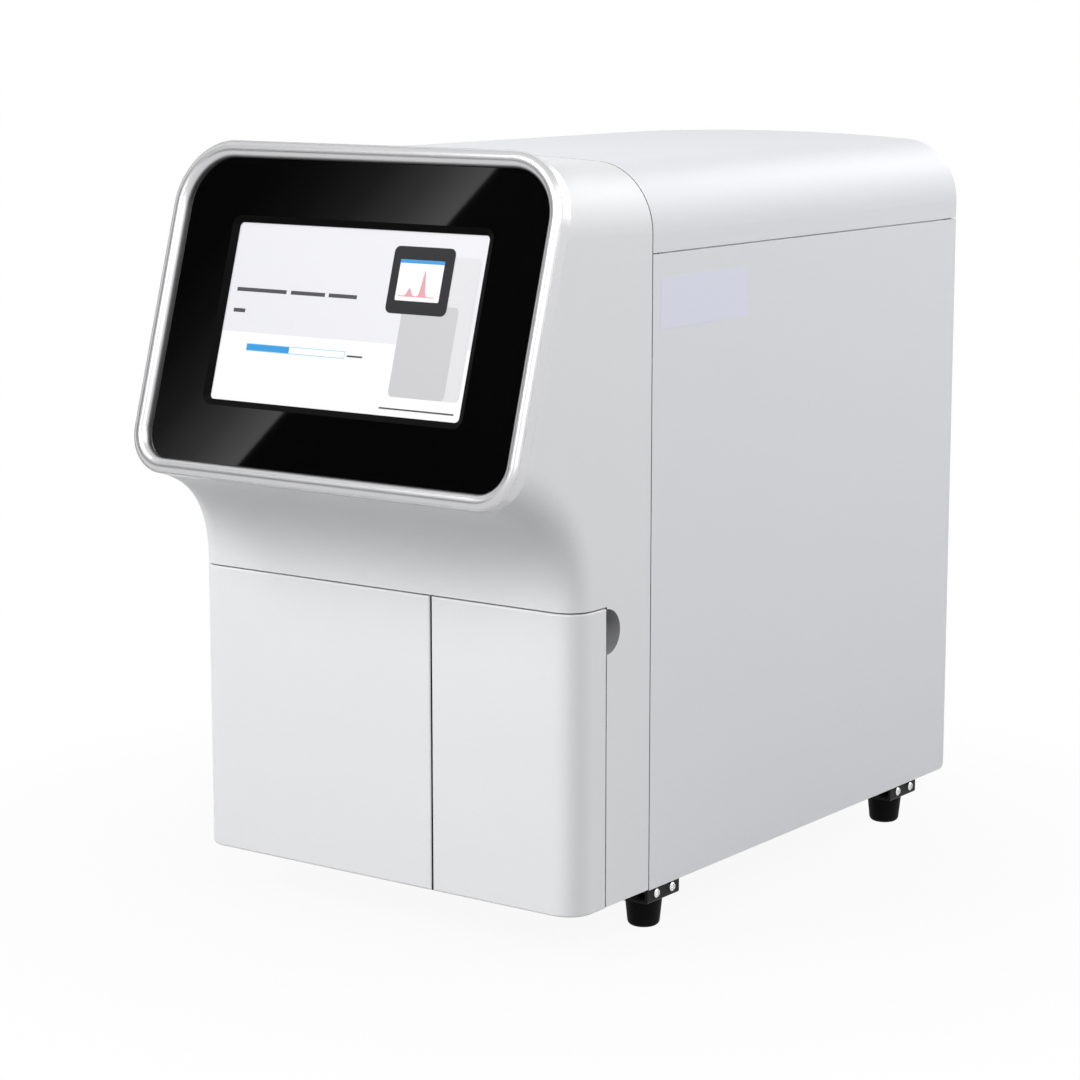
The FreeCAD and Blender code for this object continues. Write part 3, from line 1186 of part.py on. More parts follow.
def tube_rack():
    """A block with a single row of wells, and a finger groove across its front."""
    length = RACK_PITCH * (RACK_COUNT - 1) + 20
    y0, y1 = RACK_FRONT_Y, RACK_FRONT_Y + length
    x0, x1 = PROBE_X - RACK_WIDTH / 2, PROBE_X + RACK_WIDTH / 2
    z0 = LINER_FLOOR_Z
    body = box(x0, x1, y0, y1, z0, z0 + RACK_HEIGHT)
    body = body.makeFillet(3.0, [e for e in body.Edges if along(e, "z")])
    tools = []
    for y in well_places():
        tools.append(rod(RACK_HOLE_RADIUS, (PROBE_X, y, z0 + RACK_HOLE_FLOOR),
                         (PROBE_X, y, z0 + RACK_HEIGHT)))
    tools.append(rod(RACK_GRIP_RADIUS, (x0, y0 - 1, z0 + RACK_GRIP_Z), (x1, y0 - 1, z0 + RACK_GRIP_Z)))
    return cut_all(body, tools)


def well_places():
    return [FRONT_HOLE_Y + i * RACK_PITCH for i in range(RACK_COUNT)]


def wash_station():
    z0 = LINER_FLOOR_Z
    top = z0 + WASH_HEIGHT
    half = WASH_BASE_HALF
    base = box(PROBE_X - half, PROBE_X + half, WASH_Y - WASH_RADIUS - 0.5, LINER_BACK_Y, z0,
               z0 + WASH_BASE_HEIGHT)
    post = rod(WASH_RADIUS, (PROBE_X, WASH_Y, z0), (PROBE_X, WASH_Y, top))
    collar = rod(WASH_RADIUS + 1.5, (PROBE_X, WASH_Y, top - 4), (PROBE_X, WASH_Y, top))
    drain_z = z0 + DRAIN_RISE
    drain = rod(DRAIN_RADIUS, (PROBE_X + WASH_RADIUS - 3, WASH_Y, drain_z),
                (PROBE_X + DRAIN_REACH, WASH_Y, drain_z))
    port = rod(WASH_PORT_RADIUS, (PROBE_X, WASH_Y, top - WASH_PORT_DEPTH), (PROBE_X, WASH_Y, top))
    return joined([base, post, collar, drain]).cut(port)


def rail_profile(gap, z_extra, y0, y1):
    """The T-shaped head and neck of the rail, grown by a gap all round."""
    neck0 = LINER_ROOF_Z + RAIL_BASE_HEIGHT
    head0 = neck0 + RAIL_NECK_HEIGHT
    neck = RAIL_NECK_WIDTH / 2 + gap
    head = RAIL_HEAD_WIDTH / 2 + gap
    stem = box(RAIL_X - neck, RAIL_X + neck, y0, y1, neck0 - z_extra, head0)
    cap = box(RAIL_X - head, RAIL_X + head, y0, y1, head0 - gap, RAIL_TOP_Z + gap)
    return joined([stem, cap])


def sampler_rail():
    y0, y1 = LINER_FRONT_Y + 4, LINER_BACK_Y + LINER_WALL
    half = RAIL_BASE_WIDTH / 2
    base = box(RAIL_X - half, RAIL_X + half, y0, y1, LINER_ROOF_Z, LINER_ROOF_Z + RAIL_BASE_HEIGHT)
    return joined([base, rail_profile(0, 1, y0, y1)])


def sampler_motor():
    y0 = LINER_BACK_Y + LINER_WALL
    half = MOTOR_SIZE / 2
    z0 = LINER_ROOF_Z
    plate = box(RAIL_X - half, RAIL_X + half, y0, y0 + MOTOR_PLATE, z0, z0 + MOTOR_SIZE)
    can = box(RAIL_X - half, RAIL_X + half, y0 + MOTOR_PLATE, y0 + MOTOR_LENGTH, z0, z0 + MOTOR_SIZE)
    can = can.makeChamfer(3.0, [e for e in can.Edges if along(e, "y")])
    plug_y = y0 + MOTOR_LENGTH - MOTOR_PLATE - MOTOR_PLUG_HALF
    plug = box(RAIL_X - MOTOR_PLUG_HALF, RAIL_X + MOTOR_PLUG_HALF, plug_y, plug_y + MOTOR_PLUG_HALF,
               z0 + MOTOR_SIZE - 1, z0 + MOTOR_SIZE + MOTOR_PLUG_RISE)
    return joined([plate, can, plug])


def probe_carriage():
    """A saddle on the rail with the closed lift drive standing on it."""
    y0, y1 = WASH_Y - SADDLE_LENGTH / 2, WASH_Y + SADDLE_LENGTH / 2
    half = SADDLE_WIDTH / 2
    low = LINER_ROOF_Z + RAIL_BASE_HEIGHT + TOUCH_GAP
    top = RAIL_TOP_Z + SADDLE_TOP
    saddle = box(RAIL_X - half, RAIL_X + half, y0, y1, low, top)
    saddle = saddle.cut(rail_profile(TOUCH_GAP, 1, y0, y1))
    tower_y0, tower_y1 = WASH_Y - TOWER_LENGTH / 2, WASH_Y + TOWER_LENGTH / 2
    tower_x1 = TOWER_LEFT_X + TOWER_WIDTH
    tower = box(TOWER_LEFT_X, tower_x1, tower_y0, tower_y1, top - 4, top + TOWER_HEIGHT)
    tower = tower.makeFillet(2.0, [e for e in tower.Edges if along(e, "z")
                                   and e.CenterOfMass.x > tower_x1 - 1])
    guide = box(TOWER_LEFT_X - GUIDE_DEPTH, TOWER_LEFT_X + 1, WASH_Y - GUIDE_WIDTH / 2,
                WASH_Y + GUIDE_WIDTH / 2,
                top - 4, top + TOWER_HEIGHT - 2)
    motor = rod(9, (TOWER_LEFT_X + TOWER_WIDTH / 2 + 1, WASH_Y, top + TOWER_HEIGHT - 1),
                (TOWER_LEFT_X + TOWER_WIDTH / 2 + 1, WASH_Y, top + TOWER_HEIGHT + 14))
    return joined([saddle, tower, guide, motor])


def probe_arm():
    half = ARM_LENGTH / 2
    x1 = TOWER_LEFT_X - TOUCH_GAP
    arm = box(ARM_LEFT_X, x1, WASH_Y - half, WASH_Y + half, ARM_REST_Z, ARM_REST_Z + ARM_HEIGHT)
    arm = arm.makeFillet(3.0, [e for e in arm.Edges if along(e, "z") and e.CenterOfMass.x < ARM_LEFT_X + 1])
    groove = GUIDE_WIDTH / 2 + TOUCH_GAP
    track = box(TOWER_LEFT_X - GUIDE_DEPTH - TOUCH_GAP, x1 + 1, WASH_Y - groove, WASH_Y + groove,
                ARM_REST_Z - 1, ARM_REST_Z + ARM_HEIGHT + 1)
    socket = rod(NEEDLE_HUB_RADIUS, (PROBE_X, WASH_Y, ARM_REST_Z), (PROBE_X, WASH_Y, ARM_REST_Z + ARM_HEIGHT))
    return cut_all(arm, [track, socket])


def probe_needle():
    hub_top = ARM_REST_Z + ARM_HEIGHT + 3
    hub = rod(NEEDLE_HUB_RADIUS, (PROBE_X, WASH_Y, ARM_REST_Z), (PROBE_X, WASH_Y, ARM_REST_Z + ARM_HEIGHT))
    flange = rod(NEEDLE_HUB_RADIUS + 1.5, (PROBE_X, WASH_Y, ARM_REST_Z + ARM_HEIGHT),
                 (PROBE_X, WASH_Y, hub_top))
    collar = rod(NEEDLE_HUB_RADIUS - 1, (PROBE_X, WASH_Y, ARM_REST_Z - NEEDLE_HUB_LENGTH),
                 (PROBE_X, WASH_Y, ARM_REST_Z))
    tip_z = ARM_REST_Z - NEEDLE_LENGTH
    needle = rod(NEEDLE_RADIUS, (PROBE_X, WASH_Y, tip_z + 3), (PROBE_X, WASH_Y, ARM_REST_Z))
    tip = Part.makeCone(0.3, NEEDLE_RADIUS, 3, Vector(PROBE_X, WASH_Y, tip_z), Vector(0, 0, 1))
    return joined([hub, flange, collar, needle, tip])


def fan_corners():
    step = FAN_HOLE_OFFSET
    return [(FAN_X + sx * step, FAN_Z + sz * step) for sx in (-1, 1) for sz in (-1, 1)]


def fan_frame():
    half = FAN_SIZE / 2
    y0, y1 = REAR_PANEL_Y - FAN_DEPTH, REAR_PANEL_Y
    body = box(FAN_X - half, FAN_X + half, y0, y1, FAN_Z - half, FAN_Z + half)
    body = body.makeFillet(5.0, [e for e in body.Edges if along(e, "y")])
    body = body.cut(rod(FAN_BORE, (FAN_X, y0, FAN_Z), (FAN_X, y1, FAN_Z)))
    waist = ring(half * 1.6, FAN_BORE + 2, (FAN_X, y0 + 4, FAN_Z), (FAN_X, y1 - 4, FAN_Z))
    body = body.cut(waist)
    hub = ring(FAN_HUB + 1, FAN_SHAFT + RUNNING_GAP, (FAN_X, y0, FAN_Z), (FAN_X, y0 + 3, FAN_Z))
    struts = []
    for i in range(4):
        strut = box(FAN_HUB, FAN_BORE + 1, -1.5, 1.5, 0, 3)
        strut.Placement = Placement(Vector(FAN_X, y0, FAN_Z), Rotation(Vector(1, 0, 0), -90))
        strut.rotate(Vector(FAN_X, y0, FAN_Z), Vector(0, 1, 0), 90 * i + 45)
        struts.append(strut)
    holes = [rod(SCREW_SHANK_RADIUS + SCREW_GAP, (x, y0 - 1, z), (x, y1 + 1, z)) for x, z in fan_corners()]
    return cut_all(joined([body, hub] + struts), holes)


def fan_rotor():
    """A hub with pitched blades, trimmed to a cylinder inside the frame."""
    y0, y1 = REAR_PANEL_Y - FAN_DEPTH + 3.5, REAR_PANEL_Y - 2
    hub = rod(FAN_HUB, (FAN_X, y0, FAN_Z), (FAN_X, y1, FAN_Z))
    hub = hub.makeFillet(2.0, [e for e in hub.Edges if len(e.Vertexes) == 1 and e.CenterOfMass.y > y1 - 1])
    shaft = rod(FAN_SHAFT, (FAN_X, y0 - 3, FAN_Z), (FAN_X, y0 + 1, FAN_Z))
    middle = (y0 + y1) / 2
    limit = rod(FAN_BLADE_TIP, (FAN_X, y0 + 0.5, FAN_Z), (FAN_X, y1 - 0.5, FAN_Z))
    blades = []
    for i in range(FAN_BLADES):
        blade = box(-13, 13, -0.7, 0.7, FAN_HUB - 1, FAN_BLADE_TIP + 4)
        blade.rotate(Vector(0, 0, 0), Vector(0, 0, 1), FAN_BLADE_PITCH)
        blade.rotate(Vector(0, 0, 0), Vector(0, 1, 0), 360 / FAN_BLADES * i)
        blade.translate(Vector(FAN_X, middle, FAN_Z))
        blades.append(blade.common(limit))
    return joined([hub, shaft] + blades)


def fan_guard():
    y0, y1 = REAR_FACE_Y, REAR_FACE_Y + GUARD_WIRE
    pieces = []
    for radius in (9, 17, 25, 33, 39):
        pieces.append(ring(radius + GUARD_WIRE / 2, radius - GUARD_WIRE / 2, (FAN_X, y0, FAN_Z),
                           (FAN_X, y1, FAN_Z)))
    for i in range(4):
        spoke = box(8, FAN_HOLE_OFFSET * math.sqrt(2), y0, y1, -GUARD_WIRE / 2, GUARD_WIRE / 2)
        spoke.rotate(Vector(0, 0, 0), Vector(0, 1, 0), 90 * i + 45)
        spoke.translate(Vector(FAN_X, 0, FAN_Z))
        pieces.append(spoke)
    pieces += [rod(4, (x, y0, z), (x, y1, z)) for x, z in fan_corners()]
    holes = [rod(SCREW_SHANK_RADIUS + SCREW_GAP, (x, y0 - 1, z), (x, y1 + 1, z)) for x, z in fan_corners()]
    return cut_all(joined(pieces), holes)


def rear_screw_places():
    edge = INNER_X - FLANGE / 2
    low, high = TRAY_RIM + REAR_SCREW_INSET, COVER_SEAM_Z - REAR_SCREW_INSET
    levels = [low + i * (high - low) / 3 for i in range(4)]
    return [(sign * edge, z) for sign in (LEFT, RIGHT) for z in levels]


def rear_screws():
    screws = [pan_head((x, REAR_FACE_Y, z), (0, 1, 0), REAR_SCREW_SHANK) for x, z in rear_screw_places()]
    screws += [pan_head((x, REAR_FACE_Y + GUARD_WIRE, z), (0, 1, 0), FAN_DEPTH / 2) for x, z in fan_corners()]
    return Part.makeCompound(screws)


def power_inlet():
    """A recessed three-pin mains inlet with two flattened upper corners."""
    y1 = REAR_FACE_Y + 2
    flange = box(-24, 24, REAR_FACE_Y, y1, -11.5, 11.5)
    flange = flange.makeFillet(3.0, [e for e in flange.Edges if along(e, "y")])
    shell = box(-14, 14, REAR_PANEL_Y - 20, REAR_FACE_Y + 1, -10.5, 10.5)
    outline = [(-12, 0, -8), (12, 0, -8), (12, 0, 3), (7, 0, 8), (-7, 0, 8), (-12, 0, 3)]
    socket = polygon(outline).extrude(Vector(0, 17, 0))
    socket.translate(Vector(0, y1 - 17, 0))
    pins = [box(x - 1, x + 1, y1 - 18, y1 - 4, z - 2, z + 2) for x, z in ((-7, -1.5), (7, -1.5), (0, 3.0))]
    blades = [box(x - 3, x + 3, REAR_PANEL_Y - 28, REAR_PANEL_Y - 19, -0.4, 0.4) for x in (-8, 0, 8)]
    body = joined([flange, shell]).cut(socket)
    body = joined([body] + pins + blades)
    body.translate(Vector(INLET_X, 0, INLET_Z))
    return body


def switch_bezel():
    y1 = REAR_FACE_Y + 2
    w, h = SWITCH_HALF_WIDTH, SWITCH_HALF_HEIGHT
    flange = box(-w - 5, w + 5, REAR_FACE_Y, y1, -h - 6, h + 6)
    shell = box(-w - 2.4, w + 2.4, REAR_PANEL_Y - 16, REAR_FACE_Y + 1, -h - 3.5, h + 3.5)
    pocket = box(-w - TOUCH_GAP, w + TOUCH_GAP, REAR_PANEL_Y - 13, y1 + 1, -h - 2, h + 2)
    pivot_y = y1 - SWITCH_PIVOT_DEPTH
    hole = rod(1.5 + RUNNING_GAP, (-w - 2, pivot_y, 0), (w + 2, pivot_y, 0))
    body = cut_all(joined([flange, shell]), [pocket, hole])
    body.translate(Vector(INLET_X, 0, SWITCH_Z))
    return body


def power_rocker():
    """A rocker with two sloping faces, resting with its upper half pressed."""
    w, h = SWITCH_HALF_WIDTH, SWITCH_HALF_HEIGHT
    pivot_y = REAR_FACE_Y + 2 - SWITCH_PIVOT_DEPTH
    rim = SWITCH_PIVOT_DEPTH + 2
    outline = [(-w, -3, -h + 4), (-w, 0, -h), (-w, rim, -h), (-w, rim - 2.2, 0), (-w, rim, h), (-w, 0, h),
               (-w, -3, h - 4)]
    body = polygon(outline).extrude(Vector(2 * w, 0, 0))
    pins = rod(1.5, (-w - 1.6, 0, 0), (w + 1.6, 0, 0))
    body = joined([body, pins])
    body.rotate(Vector(0, 0, 0), Vector(1, 0, 0), SWITCH_TILT)
    body.translate(Vector(INLET_X, pivot_y, SWITCH_Z))
    return body


def port_places():
    slim = (13.1, PORT_SLIM_HEIGHT)
    near_x = PORTS_X - PORT_STEP
    return [(PORTS_X, PORTS_Z, 15.9, 13.2), (near_x, PORTS_Z, *slim),
            (near_x - PORT_SLIM_PITCH, PORTS_Z, *slim)]


def interface_ports():
    """A network socket and two flat data sockets, each a metal shell."""
    sockets = []
    for x, z, width, height in port_places():
        y0, y1 = REAR_PANEL_Y - PORT_DEPTH, REAR_FACE_Y + 0.4
        shell = box(x - width / 2, x + width / 2, y0, y1, z - height / 2, z + height / 2)
        hollow = box(x - width / 2 + 0.8, x + width / 2 - 0.8, y0 + 2, y1, z - height / 2 + 0.8,
                     z + height / 2 - 0.8)
        tongue_z = z + (height - PORT_SLIM_HEIGHT) / 2
        tongue = box(x - width / 2 + 2, x + width / 2 - 2, y0 + 1, y1 - 2, tongue_z - 0.8, tongue_z + 0.8)
        sockets.append(joined([shell.cut(hollow), tongue]))
    low = PORTS_Z - 10
    board_y = REAR_PANEL_Y - PORT_DEPTH
    board = box(PORTS_X - 56, PORTS_X + 14, board_y - BOARD, board_y, low, PORTS_Z + 10)
    return joined([board] + sockets)


def spigot_places():
    return [SPIGOT_LEFT_X + i * SPIGOT_PITCH for i in range(3)]


def fluid_ports():
    """Three bulkhead spigots, each with a hexagon collar and a lock nut."""
    fittings = []
    for x in spigot_places():
        y = REAR_FACE_Y
        tip = y + 4 + SPIGOT_LENGTH
        nose = rod(SPIGOT_RADIUS, (x, y, SPIGOT_Z), (x, tip, SPIGOT_Z))
        lead = Part.makeCone(SPIGOT_RADIUS, SPIGOT_RADIUS - 1, 1.5, Vector(x, tip, SPIGOT_Z), Vector(0, 1, 0))
        collar = hexagon(7, (0, 0), 0, 4)
        collar.Placement = Placement(Vector(x, y + 4, SPIGOT_Z), Rotation(Vector(1, 0, 0), 90))
        thread = rod(SPIGOT_RADIUS + 1.4, (x, y - SHEET - 12, SPIGOT_Z), (x, y + 1, SPIGOT_Z))
        nut = hexagon(7, (0, 0), 0, 4)
        nut.Placement = Placement(Vector(x, REAR_PANEL_Y, SPIGOT_Z), Rotation(Vector(1, 0, 0), 90))
        bore = rod(SPIGOT_BORE, (x, y - SHEET - 13, SPIGOT_Z), (x, tip + 2, SPIGOT_Z))
        fittings.append(joined([nose, lead, collar, thread, nut]).cut(bore))
    return Part.makeCompound(fittings)


def power_supply():
    x0 = -INNER_X + SHEET + SUPPLY_SIDE_GAP
    x1 = x0 + SUPPLY_WIDTH
    y1 = REAR_PANEL_Y - SHEET - SUPPLY_REAR_GAP
    y0 = y1 - SUPPLY_LENGTH
    top = SHEET + SUPPLY_HEIGHT
    case = box(x0, x1, y0, y1, SHEET, top)
    pitch = SUPPLY_LENGTH / 16
    slots = [box(x0 + 0.13 * SUPPLY_WIDTH, x1 - 0.13 * SUPPLY_WIDTH, y0 + pitch * i, y0 + pitch * (i + 0.45),
                 top - 1, top + 1) for i in range(4, 14)]
    terminals = box(x0 + TERMINAL_LENGTH, x1 - TERMINAL_LENGTH, y1, y1 + TERMINAL_LENGTH,
                    SHEET + 0.1 * SUPPLY_HEIGHT, SHEET + 0.4 * SUPPLY_HEIGHT)
    return joined([cut_all(case, slots), terminals])


def main_board():
    x0, x1 = MAIN_BOARD_X, MAIN_BOARD_X + MAIN_BOARD_WIDTH
    y1 = REAR_PANEL_Y - MAIN_BOARD_REAR_GAP
    y0 = y1 - MAIN_BOARD_LENGTH
    shelf = SHELF_Z + SHEET
    low = shelf + STANDOFF_HEIGHT
    top = low + BOARD
    inset = BOARD_HOLE_INSET
    plate = box(x0, x1, y0, y1, low, top)
    posts = [rod(POST_RADIUS, (x, y, shelf), (x, y, low))
             for x in (x0 + inset, x1 - inset) for y in (y0 + inset, y1 - inset)]
    chips = []
    for right, back, size in ((0.37, 0.41, 30), (0.67, 0.45, 20), (0.14, 0.7, 14), (0.45, 0.75, 14)):
        x, y = x0 + right * MAIN_BOARD_WIDTH, y0 + back * MAIN_BOARD_LENGTH
        chips.append(box(x - size / 2, x + size / 2, y - size / 2, y + size / 2, top, top + CHIP_HEIGHT))
    caps = [rod(CAPACITOR_RADIUS, (x0 + right * MAIN_BOARD_WIDTH, y0 + 0.18 * MAIN_BOARD_LENGTH, top),
                (x0 + right * MAIN_BOARD_WIDTH, y0 + 0.18 * MAIN_BOARD_LENGTH, top + CAPACITOR_HEIGHT))
            for right in (0.67, 0.77, 0.87)]
    headers = [box(x1 - inset - HEADER_WIDTH, x1 - inset, y0 + back * MAIN_BOARD_LENGTH,
                   y0 + back * MAIN_BOARD_LENGTH + HEADER_LENGTH, top, top + HEADER_HEIGHT)
               for back in (0.27, 0.5, 0.73)]
    return joined([plate] + posts + chips + caps + headers)


def detector_module():
    x0, x1 = DETECTOR_X, DETECTOR_X + DETECTOR_WIDTH
    y0, y1 = DETECTOR_Y, DETECTOR_Y + DETECTOR_LENGTH
    z0 = SHELF_Z + SHEET
    middle = (x0 + x1) / 2
    case = box(x0, x1, y0, y1, z0, z0 + DETECTOR_HEIGHT)
    case = case.makeFillet(3.0, [e for e in case.Edges if along(e, "z")])
    lamp_z = z0 + DETECTOR_HEIGHT / 2 + 2
    lamp = rod(LAMP_RADIUS, (middle, y1, lamp_z), (middle, y1 + LAMP_LENGTH, lamp_z))
    cell_z = z0 + DETECTOR_HEIGHT / 2
    cell = box(middle - CELL_WIDTH / 2, middle + CELL_WIDTH / 2, y0 - CELL_LENGTH, y0 + 1,
               cell_z - CELL_HEIGHT / 2, cell_z + CELL_HEIGHT / 2)
    front = y0 - CELL_LENGTH
    nuts = [rod(FITTING_RADIUS, (middle, front - FITTING_LENGTH, cell_z + lift),
                (middle, front + 1, cell_z + lift))
            for lift in (-CELL_HEIGHT / 3, CELL_HEIGHT / 3)]
    return joined([case, lamp, cell] + nuts)


def degasser():
    z0 = SHELF_Z + SHEET
    case = box(DEGASSER_X, DEGASSER_X + DEGASSER_WIDTH, DEGASSER_Y, DEGASSER_Y + DEGASSER_LENGTH,
               z0, z0 + DEGASSER_HEIGHT)
    case = case.makeFillet(3.0, [e for e in case.Edges if along(e, "z")])
    nuts = []
    for i in range(4):
        x = DEGASSER_X + (i + 1) * DEGASSER_WIDTH / 5
        z = z0 + DEGASSER_HEIGHT / 2
        nuts.append(rod(FITTING_RADIUS, (x, DEGASSER_Y - FITTING_LENGTH, z), (x, DEGASSER_Y + 1, z)))
    return joined([case] + nuts)


def pump_module():
    y0 = PUMP_MODULE_Y
    y1 = y0 + PUMP_MODULE_DEPTH
    half = GEAR_CASE_WIDTH / 2
    gear_case = box(PUMP_X - half, PUMP_X + half, y0, y0 + GEAR_CASE_LENGTH, SHEET, PUMP_Z + half + 4)
    gear_case = gear_case.makeFillet(4.0, [e for e in gear_case.Edges if along(e, "y")
                                           and e.CenterOfMass.z > PUMP_Z])
    motor_y = y0 + GEAR_CASE_LENGTH - 1
    motor = rod(PUMP_MOTOR_RADIUS, (PUMP_X, motor_y, PUMP_Z), (PUMP_X, y1, PUMP_Z))
    bands = [ring(PUMP_MOTOR_RADIUS + 1.5, PUMP_MOTOR_RADIUS - 1, (PUMP_X, y, PUMP_Z),
                  (PUMP_X, y + 4, PUMP_Z))
             for y in (motor_y + 5, y1 - 8)]
    return joined([gear_case, motor] + bands)


def build():
    parts["front_housing"] = front_housing()
    parts["bezel_ring"] = bezel_ring()
    parts["screen_fascia"] = screen_fascia()
    parts["lcd_touchscreen"] = lcd_touchscreen()
    parts["display_board"] = display_board()
    parts["top_cover"] = top_cover()
    parts["side_panel_left"] = side_panel(LEFT)
    parts["side_panel_right"] = side_panel(RIGHT)
    parts["rear_panel"] = rear_panel()
    parts["base_tray"] = base_tray()
    parts["front_portal"] = front_portal()
    parts["equipment_shelf"] = equipment_shelf()
    parts["bay_liner"] = bay_liner()
    for name, sign in (("left", LEFT), ("right", RIGHT)):
        parts[name + "_door"] = door(sign)
        parts[name + "_hinge_pins"] = hinge_pins(sign)
        parts[name + "_door_strike"] = door_strike(sign)
    parts["door_magnets"] = door_magnets()
    for name, (sign, y) in zip(("left_front", "left_rear", "right_front", "right_rear"), bracket_places()):
        parts[name + "_bracket"] = foot_bracket(sign, y)
        parts[name + "_foot"] = foot(sign, y)
    parts["bracket_screws"] = bracket_screws()
    parts["column_oven"] = column_oven()
    parts["oven_cover"] = oven_cover()
    parts["column"] = column()
    parts["pump_head"] = pump_head()
    parts["purge_knob"] = purge_knob()
    parts["injection_valve"] = injection_valve()
    parts["capillary_lines"] = capillary_lines()
    parts["syringe_drive"] = syringe_drive()
    parts["syringe_barrel"] = syringe_barrel()
    parts["syringe_plunger"] = syringe_plunger()
    parts["tube_rack"] = tube_rack()
    parts["wash_station"] = wash_station()
    parts["sampler_rail"] = sampler_rail()
    parts["sampler_motor"] = sampler_motor()
    parts["probe_carriage"] = probe_carriage()
    parts["probe_arm"] = probe_arm()
    parts["probe_needle"] = probe_needle()
    parts["fan_frame"] = fan_frame()
    parts["fan_rotor"] = fan_rotor()
    parts["fan_guard"] = fan_guard()
    parts["rear_screws"] = rear_screws()
    parts["power_inlet"] = power_inlet()
    parts["switch_bezel"] = switch_bezel()
    parts["power_rocker"] = power_rocker()
    parts["interface_ports"] = interface_ports()
    parts["fluid_ports"] = fluid_ports()
    parts["power_supply"] = power_supply()
    parts["main_board"] = main_board()
    parts["detector_module"] = detector_module()
    parts["degasser"] = degasser()
    parts["pump_module"] = pump_module()


def stand_offset():
    """The move that puts the origin on the floor under the middle of the box."""
    whole = Part.makeCompound(list(parts.values())).optimalBoundingBox(False, False)
    return Vector(-whole.Center.x, -whole.Center.y, -whole.ZMin)


build()
offset = stand_offset()
os.makedirs("parts", exist_ok=True)
for node, shape in parts.items():
    shape.translate(offset)
    shape.exportStep("parts/" + node + ".step")
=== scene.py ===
import json
import math

import bpy
from mathutils import Matrix, Vector


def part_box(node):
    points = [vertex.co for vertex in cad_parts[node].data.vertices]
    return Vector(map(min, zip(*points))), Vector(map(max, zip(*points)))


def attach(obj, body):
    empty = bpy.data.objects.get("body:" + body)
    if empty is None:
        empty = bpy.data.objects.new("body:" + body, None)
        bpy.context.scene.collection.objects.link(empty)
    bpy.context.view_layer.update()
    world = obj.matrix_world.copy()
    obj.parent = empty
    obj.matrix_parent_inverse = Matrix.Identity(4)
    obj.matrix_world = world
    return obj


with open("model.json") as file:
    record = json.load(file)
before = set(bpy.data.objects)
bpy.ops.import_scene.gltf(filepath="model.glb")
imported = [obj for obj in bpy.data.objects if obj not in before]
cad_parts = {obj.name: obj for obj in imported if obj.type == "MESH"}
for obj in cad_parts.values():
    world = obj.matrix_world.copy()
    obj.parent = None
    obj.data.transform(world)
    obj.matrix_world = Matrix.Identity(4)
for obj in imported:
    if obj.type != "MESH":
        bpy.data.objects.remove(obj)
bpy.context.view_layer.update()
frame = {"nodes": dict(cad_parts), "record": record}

# Camera: where it looks, how far it stands and its lens
CAMERA_TARGET = Vector((-0.0142, -0.0161, 0.2191))
CAMERA_AZIMUTH = 35.90
CAMERA_ELEVATION = 10.06
CAMERA_DISTANCE = 2.0357
CAMERA_LENS = 100.97
CAMERA_SENSOR = 36.0

# Slot materials: colour, roughness, metallic and specular
SLOT_SURFACES = {
    "housing_plastic": ((0.775, 0.780, 0.790), 0.46, 0.0, 0.35),
    "door_plastic": ((0.765, 0.768, 0.776), 0.42, 0.0, 0.5),
    "panel_paint": ((0.755, 0.765, 0.788), 0.50, 0.0, 0.3),
    "satin_chrome": ((0.60, 0.60, 0.61), 0.30, 1.0, 0.5),
    "fascia_black": ((0.0015, 0.0015, 0.0017), 0.02, 0.0, 0.5),
    "circuit_board": ((0.015, 0.10, 0.04), 0.4, 0.0, 0.5),
    "zinc_steel": ((0.56, 0.57, 0.58), 0.38, 1.0, 0.5),
    "liner_grey": ((0.095, 0.10, 0.112), 0.5, 0.0, 0.5),
    "bright_steel": ((0.72, 0.72, 0.73), 0.2, 1.0, 0.5),
    "magnet_black": ((0.01, 0.01, 0.011), 0.4, 0.0, 0.5),
    "oven_aluminium": ((0.70, 0.71, 0.72), 0.35, 1.0, 0.5),
    "oven_cover_paint": ((0.06, 0.07, 0.085), 0.45, 0.0, 0.5),
    "knob_black": ((0.012, 0.012, 0.013), 0.42, 0.0, 0.5),
    "module_paint": ((0.10, 0.11, 0.13), 0.45, 0.0, 0.5),
    "clear_glass": ((0.9, 0.95, 0.96), 0.03, 0.0, 0.5),
    "rack_blue": ((0.02, 0.12, 0.38), 0.4, 0.0, 0.5),
    "bracket_black": ((0.006, 0.006, 0.007), 0.40, 0.0, 0.12),
    "rubber_black": ((0.003, 0.003, 0.003), 0.55, 0.0, 0.06),
}
GLASS_ALPHA = 0.35

# Grain of mouldings and powder coat: scale and strength, and how deep it is
SLOT_GRAIN = {
    "housing_plastic": (900, 0.05),
    "door_plastic": (900, 0.05),
    "panel_paint": (1500, 0.08),
    "liner_grey": (1200, 0.08),
    "rubber_black": (1500, 0.1),
}
GRAIN_DETAIL = 3.0
GRAIN_DEPTH = 0.0001

# Screen plane: it leans back, and places on it are (right, up) from its middle
SCREEN_TILT = math.radians(16.57)
LCD_BORDER = 0.006
LCD_EDGE_TRIM = 0.0003

# Screen picture: its size, and the step between the layers that lie on each other
PICTURE_WIDTH = 0.1944
PICTURE_HEIGHT = 0.1118
PICTURE_LIFT = 0.00008
PICTURE_SPLIT = 0.613
PICTURE_ROUGHNESS = 0.25
PICTURE_BASE = 0.35

